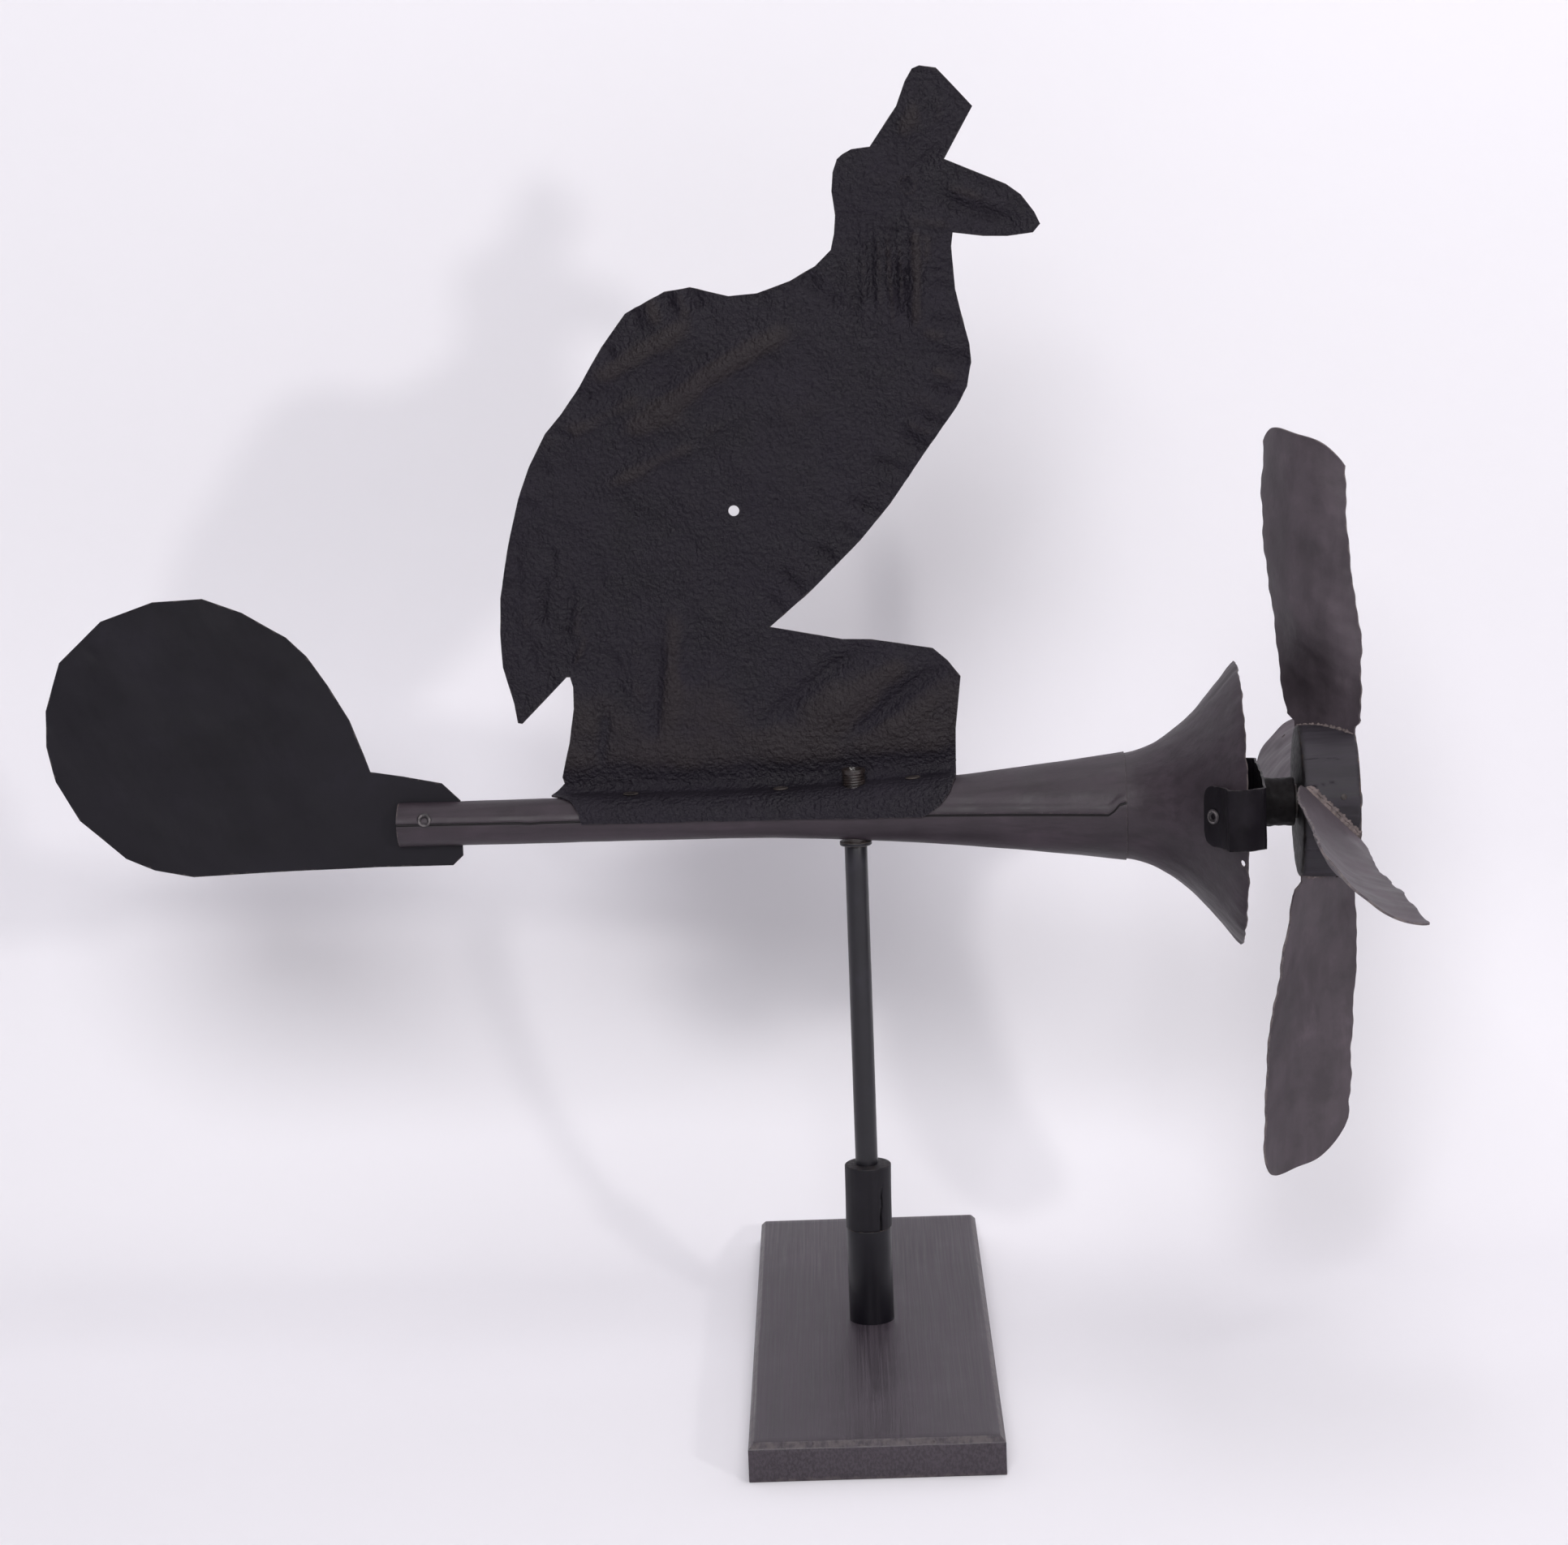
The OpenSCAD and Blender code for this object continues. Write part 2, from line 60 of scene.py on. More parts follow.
# Both frames take millimetres: the stand's is the row frame, and the head's has its x along the horn
STAND = Matrix.Scale(MM, 4)
HEAD_TURN = math.atan2(SPIN["axis"][1], SPIN["axis"][0])
HEAD = Matrix.Translation((0, 0, SPIN["pos_m"][2])) @ Matrix.Rotation(HEAD_TURN, 4, "Z") @ STAND


def reach(node, place=HEAD):
    """Lowest and highest corner of a CAD node, in a frame's own millimetres."""
    flat = np.empty(len(frame["nodes"][node].data.vertices) * 3)
    frame["nodes"][node].data.vertices.foreach_get("co", flat)
    inverse = np.array(place.inverted())
    points = flat.reshape(-1, 3) @ inverse[:3, :3].T + inverse[:3, 3]
    return points.min(0), points.max(0)


BOARD = reach("base_board", STAND)
POST = reach("lower_post", STAND)
SLEEVE = reach("upper_sleeve", STAND)
ROD = reach("spindle_rod", STAND)
BUSH = reach("pivot_bush", STAND)
COLLAR = reach("bush_collar", STAND)
TUBE = reach("horn_tube")
BELL = reach("horn_bell")
SPOOL = reach("spool_spacer")
BOLT = reach("axle_bolt")
HUB = reach("hub")
HUB_MID = (HUB[0][0] + HUB[1][0]) / 2


# ---------------------------------------------------------------- sizes and colours a user may change

class WhirligigSizes(bpy.types.PropertyGroup):
    """Sizes of the visual pieces; the places come from the frame."""

    board_chamfer: FloatProperty(name="Board chamfer", description="Chamfer along the board's top edges",
                                 default=0.003, unit="LENGTH")
    horn_sheet: FloatProperty(name="Horn sheet", description="Thickness of the horn's sheet iron",
                              default=0.0008, unit="LENGTH")
    small_end: FloatProperty(name="Horn's small end", description="Outer radius of the horn's plain tube",
                             default=0.0125, unit="LENGTH")
    joint_radius: FloatProperty(name="Horn's large end", description="Outer radius where the bell joins",
                                default=(TUBE[1][2] - TUBE[0][2]) / 2 * MM, unit="LENGTH")
    rim_radius: FloatProperty(name="Bell rim", description="Outer radius of the bell's rim",
                              default=(BELL[1][2] - BELL[0][2]) / 2 * MM, unit="LENGTH")
    seam_lip: FloatProperty(name="Seam lip", description="How far the horn's folded seam stands up",
                            default=0.0009, unit="LENGTH")
    bird_sheet: FloatProperty(name="Bird sheet", description="Thickness of the bird's sheet iron",
                              default=0.001, unit="LENGTH")
    relief: FloatProperty(name="Feather relief",
                          description="How strongly the feathers are pressed into the sheet",
                          default=1.5, min=0.0, max=2.0)
    vane_sheet: FloatProperty(name="Tail vane sheet", description="Thickness of the tail vane",
                              default=0.0008, unit="LENGTH")
    strap_sheet: FloatProperty(name="Strap sheet", description="Thickness of the strap across the bell",
                               default=0.0012, unit="LENGTH")
    hub_radius: FloatProperty(name="Hub radius", description="Radius of the wooden hub",
                              default=(HUB[1][2] - HUB[0][2]) / 2 * MM, unit="LENGTH")
    blade_sheet: FloatProperty(name="Blade sheet", description="Thickness of a blade",
                               default=0.0012, unit="LENGTH")
    blade_half: FloatProperty(name="Blade half chord", description="Half the chord of a blade near its tip",
                              default=0.031, unit="LENGTH")
    blade_reach: FloatProperty(name="Blade reach", description="Radius of the propeller at the blade tips",
                               default=0.206, unit="LENGTH")
    blade_cup: FloatProperty(name="Blade cup", description="How deeply a blade is cupped",
                             default=0.009, unit="LENGTH")


def colour(name, words, value):
    """A colour property with a plain description."""
    return FloatVectorProperty(name=name, description=words, default=value, size=3, subtype="COLOR",
                               min=0.0, max=1.0)


class WhirligigColours(bpy.types.PropertyGroup):
    """Main colours of the finishes, in linear light."""

    board: colour("Board paint", "Black paint of the base board", (0.035, 0.028, 0.035))
    post: colour("Post paint", "Black paint of the post and rod", (0.0070, 0.0062, 0.0095))
    sleeve: colour("Sleeve wood", "Blackened wood of the upper sleeve", (0.0100, 0.0090, 0.0120))
    rust: colour("Rusted bush", "Brown rust of the threaded bush", (0.016, 0.011, 0.010))
    horn: colour("Horn paint", "Old grey-black paint of the horn", (0.031, 0.022, 0.029))
    bird: colour("Bird paint", "Blue-black paint of the bird", (0.0110, 0.0088, 0.0140))
    vane: colour("Vane paint", "Old black paint of the tail vane", (0.0085, 0.0075, 0.0110))
    strap: colour("Strap iron", "Blackened strap iron", (0.0085, 0.0070, 0.0095))
    rivet: colour("Rivets", "Dark hollow rivets", (0.018, 0.015, 0.017))
    bolt: colour("Axle steel", "Rusted steel of the bolt and nut", (0.022, 0.017, 0.016))
    spool: colour("Spool wood", "Dark worn wood of the spacer", (0.0040, 0.0030, 0.0034))
    hub: colour("Hub paint", "Blue-grey paint of the wooden hub", (0.021, 0.018, 0.023))
    bare_wood: colour("Bare wood", "Brown wood where the hub's paint has gone", (0.110, 0.078, 0.062))
    filler: colour("Filler", "Light brown filler along the blades' kerfs", (0.100, 0.080, 0.078))
    blade: colour("Blade iron", "Weathered grey iron of the blades", (0.070, 0.056, 0.066))
    backdrop: colour("Backdrop", "Pale studio floor and backdrop", (0.86, 0.85, 0.88))


def sizes():
    return bpy.context.scene.whirligig_sizes


def colours():
    return bpy.context.scene.whirligig_colours


# ---------------------------------------------------------------- mesh code

def smooth_path(points, steps):
    """Catmull-Rom curve through points, as an array."""
    p = np.array(points, float)
    count = len(p)
    made = []
    for i in range(count - 1):
        a, b, c, d = p[max(i - 1, 0)], p[i], p[i + 1], p[min(i + 2, count - 1)]
        for k in range(steps):
            t = k / steps
            made.append(0.5 * (2 * b + (c - a) * t + (2 * a - 5 * b + 4 * c - d) * t ** 2
                               + (3 * b - a - 3 * c + d) * t ** 3))
    made.append(p[-1])
    return np.array(made)


def even_path(points, spacing):
    """The same path with its points an even distance apart."""
    p = np.array(points, float)
    run = np.concatenate([[0], np.cumsum(np.linalg.norm(np.diff(p, axis=0), axis=1))])
    count = max(2, int(round(run[-1] / spacing)) + 1)
    at = np.linspace(0, run[-1], count)
    return np.stack([np.interp(at, run, p[:, k]) for k in range(p.shape[1])], axis=1)


def cut_path(points, spacing):
    """A path of straight cuts that keeps its corners, with points about a distance apart."""
    made = []
    for a, b in zip(np.array(points, float), np.array(points[1:], float)):
        count = max(1, int(round(np.linalg.norm(b - a) / spacing)))
        made += [a + (b - a) * k / count for k in range(count)]
    return np.array(made + [points[-1]])


def ease(t):
    s = np.clip(t, 0, 1)
    return s * s * (3 - 2 * s)


def ripple(points, size, seed=0.0):
    """Soft seeded waves through space, about -1 to 1, with features of that size."""
    q = np.asarray(points, float) / size * 2 * math.pi
    x, y, z = q[:, 0], q[:, 1], q[:, 2]
    return (np.sin(x * 0.61 + y * 0.53 + z * 0.47 + seed) * np.sin(y * 0.71 - z * 0.43 + 1.7 * seed + 1)
            + np.sin(x * 0.37 - z * 0.83 + 2.3 * seed + 2) * np.sin(x * 0.29 + y * 0.91 + z * 0.31 + seed + 4)
            + 0.6 * np.sin(x * 1.37 + z * 1.13 + 3.1 * seed) * np.sin(y * 1.21 + x * 0.77 - seed))


def grid_faces(rows, cols, wrap=False):
    """Quads of a grid of points, row by row; wrap joins the last column to the first."""
    made = []
    for i in range(rows - 1):
        for j in range(cols if wrap else cols - 1):
            a, b = i * cols + j, i * cols + (j + 1) % cols
            made.append((a, b, b + cols, a + cols))
    return made


def vertex_normals(verts, faces):
    """Area-weighted normals of a surface."""
    normals = np.zeros_like(verts)
    for size in {len(f) for f in faces}:
        ring = np.array([f for f in faces if len(f) == size])
        cross = np.zeros((len(ring), 3))
        for k in range(size):
            cross += np.cross(verts[ring[:, k]], verts[ring[:, (k + 1) % size]])
        for k in range(size):
            np.add.at(normals, ring[:, k], cross)
    return normals / np.maximum(np.linalg.norm(normals, axis=1), 1e-12)[:, None]


def thicken(verts, faces, front, back):
    """Closed sheet from a surface, pushed front along its normals and back against them.
    Returns verts, faces and a wear value that is 1 on the sheet's edges."""
    verts = np.asarray(verts, float)
    count = len(verts)
    normals = vertex_normals(verts, faces)
    seen = {(f[k], f[(k + 1) % len(f)]) for f in faces for k in range(len(f))}
    rim = [(a, b) for a, b in seen if (b, a) not in seen]
    wear = np.zeros(count)
    for a, b in rim:
        wear[[a, b]] = 1
    both = np.concatenate([verts + normals * front, verts - normals * back])
    made = list(faces) + [tuple(count + i for i in reversed(f)) for f in faces]
    made += [(b, a, a + count, b + count) for a, b in sorted(rim)]
    return both, made, np.concatenate([wear, wear])


def turned(profile, columns=96, angles=None, closed=False):
    """Surface turned about the x axis from (x, radius) points."""
    p = np.array(profile, float)
    a = np.linspace(0, 2 * math.pi, columns, endpoint=False) if angles is None else np.asarray(angles)
    x = np.repeat(p[:, 0], len(a))
    y = np.outer(p[:, 1], np.cos(a)).ravel()
    z = np.outer(p[:, 1], np.sin(a)).ravel()
    verts = np.stack([x, y, z], axis=1)
    faces = grid_faces(len(p), len(a), wrap=True)
    if closed:
        last = (len(p) - 1) * len(a)
        for j in range(len(a)):
            k = (j + 1) % len(a)
            faces.append((last + j, last + k, k, j))
    return verts, faces


def upright(verts):
    """Turns a solid made about the x axis to stand along z."""
    v = np.asarray(verts, float)
    return np.stack([-v[:, 2], v[:, 1], v[:, 0]], axis=1)


def join(*shells):
    """One list of verts, faces and wear from several (verts, faces, wear) shells."""
    verts, faces, wear, start = [], [], [], 0
    for v, f, w in shells:
        verts.append(v)
        faces += [tuple(start + i for i in face) for face in f]
        wear.append(w)
        start += len(v)
    return np.concatenate(verts), faces, np.concatenate(wear)


def punch(verts, faces, centre, radius):
    """Opens a small round hole in a fine grid, round the vertex nearest to a point."""
    nearest = int(np.argmin(np.linalg.norm(verts - np.array(centre), axis=1)))
    verts = verts.copy()
    for i in {i for f in faces if nearest in f for i in f} - {nearest}:
        gap = verts[i] - verts[nearest]
        verts[i] = verts[nearest] + gap / np.linalg.norm(gap) * radius
    faces = [f for f in faces if nearest not in f]
    used = sorted({i for f in faces for i in f})
    number = {old: new for new, old in enumerate(used)}
    return verts[used], [tuple(number[i] for i in f) for f in faces]


def make_piece(name, shell, place, material, nodes, body, smooth=35, attributes=()):
    """Links a mesh built in a frame's millimetres, gives it its finish and fastens it to its body."""
    verts, faces, wear = shell
    matrix = np.array(place)
    world = np.asarray(verts, float) @ matrix[:3, :3].T + matrix[:3, 3]
    mesh = bpy.data.meshes.new(name)
    mesh.from_pydata(world.tolist(), [], [tuple(int(i) for i in f) for f in faces])
    for label, values in (("wear", wear), *attributes):
        layer = mesh.attributes.new(label, "FLOAT", "POINT")
        layer.data.foreach_set("value", np.asarray(values, np.float32))
    mesh.validate()
    mesh.polygons.foreach_set("use_smooth", [True] * len(mesh.polygons))
    mesh.set_sharp_from_angle(angle=math.radians(smooth))
    mesh.materials.append(material)
    piece = bpy.data.objects.new(name, mesh)
    bpy.context.scene.collection.objects.link(piece)
    if not len(mesh.polygons):
        raise RuntimeError(f"{name} has no faces")
    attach(piece, body)
    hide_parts(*nodes)
    return piece


def in_loop(points, loop):
    """Which points lie inside a closed loop."""
    inside = np.zeros(len(points), bool)
    x, y = points[:, 0], points[:, 1]
    for (ax, ay), (bx, by) in zip(loop, np.roll(loop, -1, axis=0)):
        crosses = (ay > y) != (by > y)
        if ay != by:
            inside ^= crosses & (x < (bx - ax) * (y - ay) / (by - ay) + ax)
    return inside


def facing_front(verts, faces):
    """Turns faces round, if need be, so that a sheet's normals point along -y."""
    ring = np.array([verts[list(f)[:3]] for f in faces])
    normal = np.cross(ring[:, 1] - ring[:, 0], ring[:, 2] - ring[:, 0])
    return [f if n < 0 else tuple(reversed(f)) for f, n in zip(faces, normal[:, 1])]


def stroke_field(points, strokes):
    """Height pressed into a sheet by strokes of (width, height, *path)."""
    total = np.zeros(len(points))
    for wide, high, *path in strokes:
        p = np.array(path, float)
        run = np.concatenate([[0], np.cumsum(np.linalg.norm(np.diff(p, axis=0), axis=1))])
        best = np.full(len(points), 1e9)
        along = np.zeros(len(points))
        for k in range(len(p) - 1):
            d = p[k + 1] - p[k]
            t = np.clip(((points - p[k]) @ d) / (d @ d), 0, 1)
            gap = np.linalg.norm(points - (p[k] + t[:, None] * d), axis=1)
            nearer = gap < best
            best = np.where(nearer, gap, best)
            along = np.where(nearer, run[k] + t * (run[k + 1] - run[k]), along)
        fade = ease(along / (0.25 * run[-1]) + 0.25) * ease((run[-1] - along) / (0.35 * run[-1]) + 0.15)
        total += high * np.exp(-(best / wide) ** 2) * fade
    return total


# ---------------------------------------------------------------- materials

def node_group(name, inputs, outputs):
    """A new shader node group with named inputs (name, socket type, default) and outputs (name, type)."""
    tree = bpy.data.node_groups.new(name, "ShaderNodeTree")
    for label, kind, value in inputs:
        socket = tree.interface.new_socket(name=label, in_out="INPUT", socket_type=kind)
        socket.default_value = value
    for label, kind in outputs:
        tree.interface.new_socket(name=label, in_out="OUTPUT", socket_type=kind)
    return tree, tree.nodes.new("NodeGroupInput"), tree.nodes.new("NodeGroupOutput")


def add(tree, kind, values=None, **settings):
    """A node with its settings, and its input sockets by name or number."""
    node = tree.nodes.new(kind)
    for label, value in settings.items():
        setattr(node, label, value)
    for label, value in (values or {}).items():
        if isinstance(value, bpy.types.NodeSocket):
            tree.links.new(value, node.inputs[label])
        else:
            node.inputs[label].default_value = value
    return node


def mixed(tree, factor, first, second):
    """Colour between two, by a factor."""
    mix = add(tree, "ShaderNodeMix", data_type="RGBA")
    for socket, value in zip((mix.inputs[0], mix.inputs[6], mix.inputs[7]), (factor, first, second)):
        if isinstance(value, bpy.types.NodeSocket):
            tree.links.new(value, socket)
        else:
            socket.default_value = value
    return mix.outputs[2]


def ramp(tree, value, low, high, to_low=0.0, to_high=1.0):
    """Maps a value from low..high to to_low..to_high, clamped and smooth."""
    node = add(tree, "ShaderNodeMapRange", {"Value": value, "From Min": low, "From Max": high,
                                            "To Min": to_low, "To Max": to_high},
               interpolation_type="SMOOTHSTEP")
    return node.outputs[0]


def mottle_group():
    """Patchy tone of old paint or iron, with fine specks."""
    tree, given, made = node_group(
        "Mottle",
        [("Colour", "NodeSocketColor", (0.03, 0.03, 0.03, 1)),
         ("Dark", "NodeSocketColor", (0.01, 0.01, 0.01, 1)),
         ("Light", "NodeSocketColor", (0.08, 0.07, 0.07, 1)), ("Patch Size", "NodeSocketFloat", 40.0),
         ("Patchiness", "NodeSocketFloat", 0.5), ("Specks", "NodeSocketFloat", 0.1)],
        [("Colour", "NodeSocketColor"), ("Patches", "NodeSocketFloat")])
    place = add(tree, "ShaderNodeTexCoord").outputs["Object"]
    broad = add(tree, "ShaderNodeTexNoise", {"Vector": place, "Scale": given.outputs["Patch Size"],
                                             "Detail": 6.0, "Roughness": 0.62})
    fine = add(tree, "ShaderNodeTexNoise", {"Vector": place, "Scale": 900.0, "Detail": 3.0, "Roughness": 0.7})
    dark = ramp(tree, broad.outputs[0], 0.34, 0.52, 1.0, 0.0)
    light = ramp(tree, broad.outputs[0], 0.50, 0.72)
    darkening = add(tree, "ShaderNodeMath", {0: dark, 1: given.outputs["Patchiness"]}, operation="MULTIPLY")
    lightening = add(tree, "ShaderNodeMath", {0: light, 1: given.outputs["Patchiness"]}, operation="MULTIPLY")
    tone = mixed(tree, darkening.outputs[0], given.outputs["Colour"], given.outputs["Dark"])
    tone = mixed(tree, lightening.outputs[0], tone, given.outputs["Light"])
    speck = add(tree, "ShaderNodeMath", {0: ramp(tree, fine.outputs[0], 0.60, 0.74),
                                         1: given.outputs["Specks"]},
                operation="MULTIPLY")
    tone = mixed(tree, speck.outputs[0], tone, given.outputs["Light"])
    tree.links.new(tone, made.inputs["Colour"])
    tree.links.new(broad.outputs[0], made.inputs["Patches"])
    return tree


def wear_group():
    """Paint rubbed through along edges, ragged, from the wear value each mesh carries; along the horn's seam
    lip that value is a painted highlight.
    """
    tree, given, made = node_group(
        "Edge Wear",
        [("Colour", "NodeSocketColor", (0.03, 0.03, 0.03, 1)),
         ("Bare", "NodeSocketColor", (0.2, 0.17, 0.15, 1)),
         ("Amount", "NodeSocketFloat", 0.5), ("Raggedness", "NodeSocketFloat", 220.0)],
        [("Colour", "NodeSocketColor"), ("Mask", "NodeSocketFloat")])
    place = add(tree, "ShaderNodeTexCoord").outputs["Object"]
    worn = add(tree, "ShaderNodeAttribute", attribute_name="wear").outputs["Fac"]
    torn = add(tree, "ShaderNodeTexNoise", {"Vector": place, "Scale": given.outputs["Raggedness"],
                                            "Detail": 5.0, "Roughness": 0.65})
    both = add(tree, "ShaderNodeMath", {0: worn, 1: torn.outputs[0]}, operation="MULTIPLY")
    mask = add(tree, "ShaderNodeMath", {0: ramp(tree, both.outputs[0], 0.36, 0.60),
                                        1: given.outputs["Amount"]},
               operation="MULTIPLY")
    tone = mixed(tree, mask.outputs[0], given.outputs["Colour"], given.outputs["Bare"])
    tree.links.new(tone, made.inputs["Colour"])
    tree.links.new(mask.outputs[0], made.inputs["Mask"])
    return tree


def pebble_group():
    """Height of a hammered, pebbled and slightly pitted skin."""
    tree, given, made = node_group(
        "Pebbled Skin",
        [("Pebble Size", "NodeSocketFloat", 420.0), ("Pebbles", "NodeSocketFloat", 1.0),
         ("Dents", "NodeSocketFloat", 0.5), ("Dent Size", "NodeSocketFloat", 60.0)],
        [("Height", "NodeSocketFloat")])
    place = add(tree, "ShaderNodeTexCoord").outputs["Object"]
    pebble = add(tree, "ShaderNodeTexNoise", {"Vector": place, "Scale": given.outputs["Pebble Size"],
                                              "Detail": 2.5, "Roughness": 0.55})
    dent = add(tree, "ShaderNodeTexNoise", {"Vector": place, "Scale": given.outputs["Dent Size"],
                                            "Detail": 3.0, "Roughness": 0.5})
    small = add(tree, "ShaderNodeMath", {0: pebble.outputs[0], 1: given.outputs["Pebbles"]},
                operation="MULTIPLY")
    large = add(tree, "ShaderNodeMath", {0: dent.outputs[0], 1: given.outputs["Dents"]}, operation="MULTIPLY")
    total = add(tree, "ShaderNodeMath", {0: small.outputs[0], 1: large.outputs[0]}, operation="ADD")
    tree.links.new(total.outputs[0], made.inputs["Height"])
    return tree


def grain_group():
    """Streaks drawn out along one direction: wood grain, or brush marks in paint."""
    tree, given, made = node_group(
        "Grain",
        [("Stretch", "NodeSocketVector", (300.0, 12.0, 300.0)), ("Sharpness", "NodeSocketFloat", 0.5)],
        [("Streaks", "NodeSocketFloat"), ("Cracks", "NodeSocketFloat")])
    place = add(tree, "ShaderNodeTexCoord").outputs["Object"]
    drawn = add(tree, "ShaderNodeVectorMath", {0: place, 1: given.outputs["Stretch"]}, operation="MULTIPLY")
    bend = add(tree, "ShaderNodeTexNoise", {"Vector": place, "Scale": 9.0, "Detail": 2.0})
    bent = add(tree, "ShaderNodeVectorMath", {0: drawn.outputs[0], 1: bend.outputs["Color"]}, operation="ADD")
    streak = add(tree, "ShaderNodeTexNoise", {"Vector": bent.outputs[0], "Scale": 1.0, "Detail": 6.0,
                                              "Roughness": given.outputs["Sharpness"]})
    crack = add(tree, "ShaderNodeTexNoise", {"Vector": bent.outputs[0], "Scale": 0.45, "Detail": 8.0,
                                             "Roughness": 0.75})
    tree.links.new(streak.outputs[0], made.inputs["Streaks"])
    tree.links.new(ramp(tree, crack.outputs[0], 0.30, 0.36, 1.0, 0.0), made.inputs["Cracks"])
    return tree


GROUP_MAKERS = {"Mottle": mottle_group, "Edge Wear": wear_group, "Pebbled Skin": pebble_group,
                "Grain": grain_group}


def effect(tree, name, **values):
    """Places one of the shared effects in a material."""
    if name not in bpy.data.node_groups:
        GROUP_MAKERS[name]()
    node = tree.nodes.new("ShaderNodeGroup")
    node.node_tree = bpy.data.node_groups[name]
    for label, value in values.items():
        socket = node.inputs[label.replace("_", " ")]
        if isinstance(value, bpy.types.NodeSocket):
            tree.links.new(value, socket)
        else:
            socket.default_value = value
    return node


def opaque(rgb, by=1.0):
    return (rgb[0] * by, rgb[1] * by, rgb[2] * by, 1.0)


def finish_material(name, rough, specular=0.4, metal=0.0):
    """A fresh Principled material: returns it, its tree and its shader."""
    material = bpy.data.materials.new(name)
    material.use_nodes = True
    tree = material.node_tree
    shader = tree.nodes["Principled BSDF"]
    shader.inputs["Roughness"].default_value = rough
    shader.inputs["Specular IOR Level"].default_value = specular
    shader.inputs["Metallic"].default_value = metal
    return material, tree, shader


def bump(tree, shader, height, strength, distance):
    node = add(tree, "ShaderNodeBump", {"Strength": strength, "Distance": distance, "Height": height})
    tree.links.new(node.outputs[0], shader.inputs["Normal"])


def roughen(tree, shader, value, low, high):
    """Roughness that follows the patches, from low to high."""
    tree.links.new(ramp(tree, value, 0.3, 0.7, low, high), shader.inputs["Roughness"])


def shade_and_chips(tree, tone, rgb):
    """Painted shade in the places that a mesh marks for it, and pale chips where it marks those."""
    shade_mask = add(tree, "ShaderNodeAttribute", attribute_name="painted_shade").outputs["Fac"]
    chip = add(tree, "ShaderNodeAttribute", attribute_name="fleck").outputs["Fac"]
    # Painted shade: the tone goes towards a much darker copy of the paint where the mesh marks it
    tone = mixed(tree, ramp(tree, shade_mask, 0.1, 0.9, 0.0, 0.9), tone, opaque(rgb, 0.12))
    return mixed(tree, ramp(tree, chip, 0.45, 0.6), tone, (0.42, 0.38, 0.37, 1.0))


def iron_paint(name, rgb, rough=0.55, specular=0.4, light=2.2, patch=38.0, patchiness=0.5, specks=0.15,
               bare=(0.16, 0.13, 0.115), worn=0.45, pebble=420.0, pebbles=1.0, dents=0.5, depth=0.0003,
               brown=None, strokes=None):
    """Old paint on sheet iron: mottled, pebbled, rubbed at the edges, with a painted highlight of lighter
    brown on raised ridges.
    """
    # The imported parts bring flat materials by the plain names
    name = "aged_" + name
    if name in bpy.data.materials:
        return bpy.data.materials[name]
    material, tree, shader = finish_material(name, rough, specular)
    skin = effect(tree, "Mottle", Colour=opaque(rgb), Dark=opaque(rgb, 0.45), Light=opaque(rgb, light),
                  Patch_Size=patch, Patchiness=patchiness, Specks=specks)
    tone = skin.outputs["Colour"]
    if brown:
        # Painted highlight: raised ridges are lightened towards the brown colour
        raised = add(tree, "ShaderNodeAttribute", attribute_name="relief").outputs["Fac"]
        tone = mixed(tree, ramp(tree, raised, 0.3, 2.6, 0.0, 0.5), tone, opaque(brown))
    height = effect(tree, "Pebbled Skin", Pebble_Size=pebble, Pebbles=pebbles, Dents=dents).outputs["Height"]
    if strokes:
        drawn = effect(tree, "Grain", Stretch=strokes, Sharpness=0.6)
        tone = mixed(tree, ramp(tree, drawn.outputs["Streaks"], 0.42, 0.66, 0.0, 0.6), tone,
                     opaque(rgb, 0.55))
        height = add(tree, "ShaderNodeMath", {0: height, 1: drawn.outputs["Streaks"]},
                     operation="ADD").outputs[0]
    edge = effect(tree, "Edge Wear", Colour=tone, Bare=opaque(bare), Amount=worn)
    tree.links.new(shade_and_chips(tree, edge.outputs["Colour"], rgb), shader.inputs["Base Color"])
    roughen(tree, shader, skin.outputs["Patches"], rough - 0.07, rough + 0.1)
    bump(tree, shader, height, 1.0, depth)
    return material


def old_wood(name, rgb, stretch, bare, rough=0.55, worn=0.5, scuffs=0.25, specular=0.4, depth=0.0002):
    """Painted or blackened wood: grain streaks, fine cracks and rubbed corners."""
    name = "aged_" + name
    if name in bpy.data.materials:
        return bpy.data.materials[name]
    material, tree, shader = finish_material(name, rough, specular)
    skin = effect(tree, "Mottle", Colour=opaque(rgb), Dark=opaque(rgb, 0.6), Light=opaque(rgb, 1.7),
                  Patch_Size=24.0, Patchiness=0.5, Specks=0.12)
    grain = effect(tree, "Grain", Stretch=stretch, Sharpness=0.62)
    tone = mixed(tree, ramp(tree, grain.outputs["Streaks"], 0.40, 0.62, 0.0, scuffs * 2),
                 skin.outputs["Colour"], opaque(rgb, 2.0))
    tone = mixed(tree, grain.outputs["Cracks"], tone, opaque(rgb, 0.3))
    edge = effect(tree, "Edge Wear", Colour=tone, Bare=opaque(bare), Amount=worn)
    tree.links.new(shade_and_chips(tree, edge.outputs["Colour"], rgb), shader.inputs["Base Color"])
    roughen(tree, shader, grain.outputs["Streaks"], rough - 0.08, rough + 0.12)
    height = add(tree, "ShaderNodeMath", {0: grain.outputs["Streaks"], 1: grain.outputs["Cracks"]},
                 operation="SUBTRACT").outputs[0]
    bump(tree, shader, height, 0.7, depth)
    return material


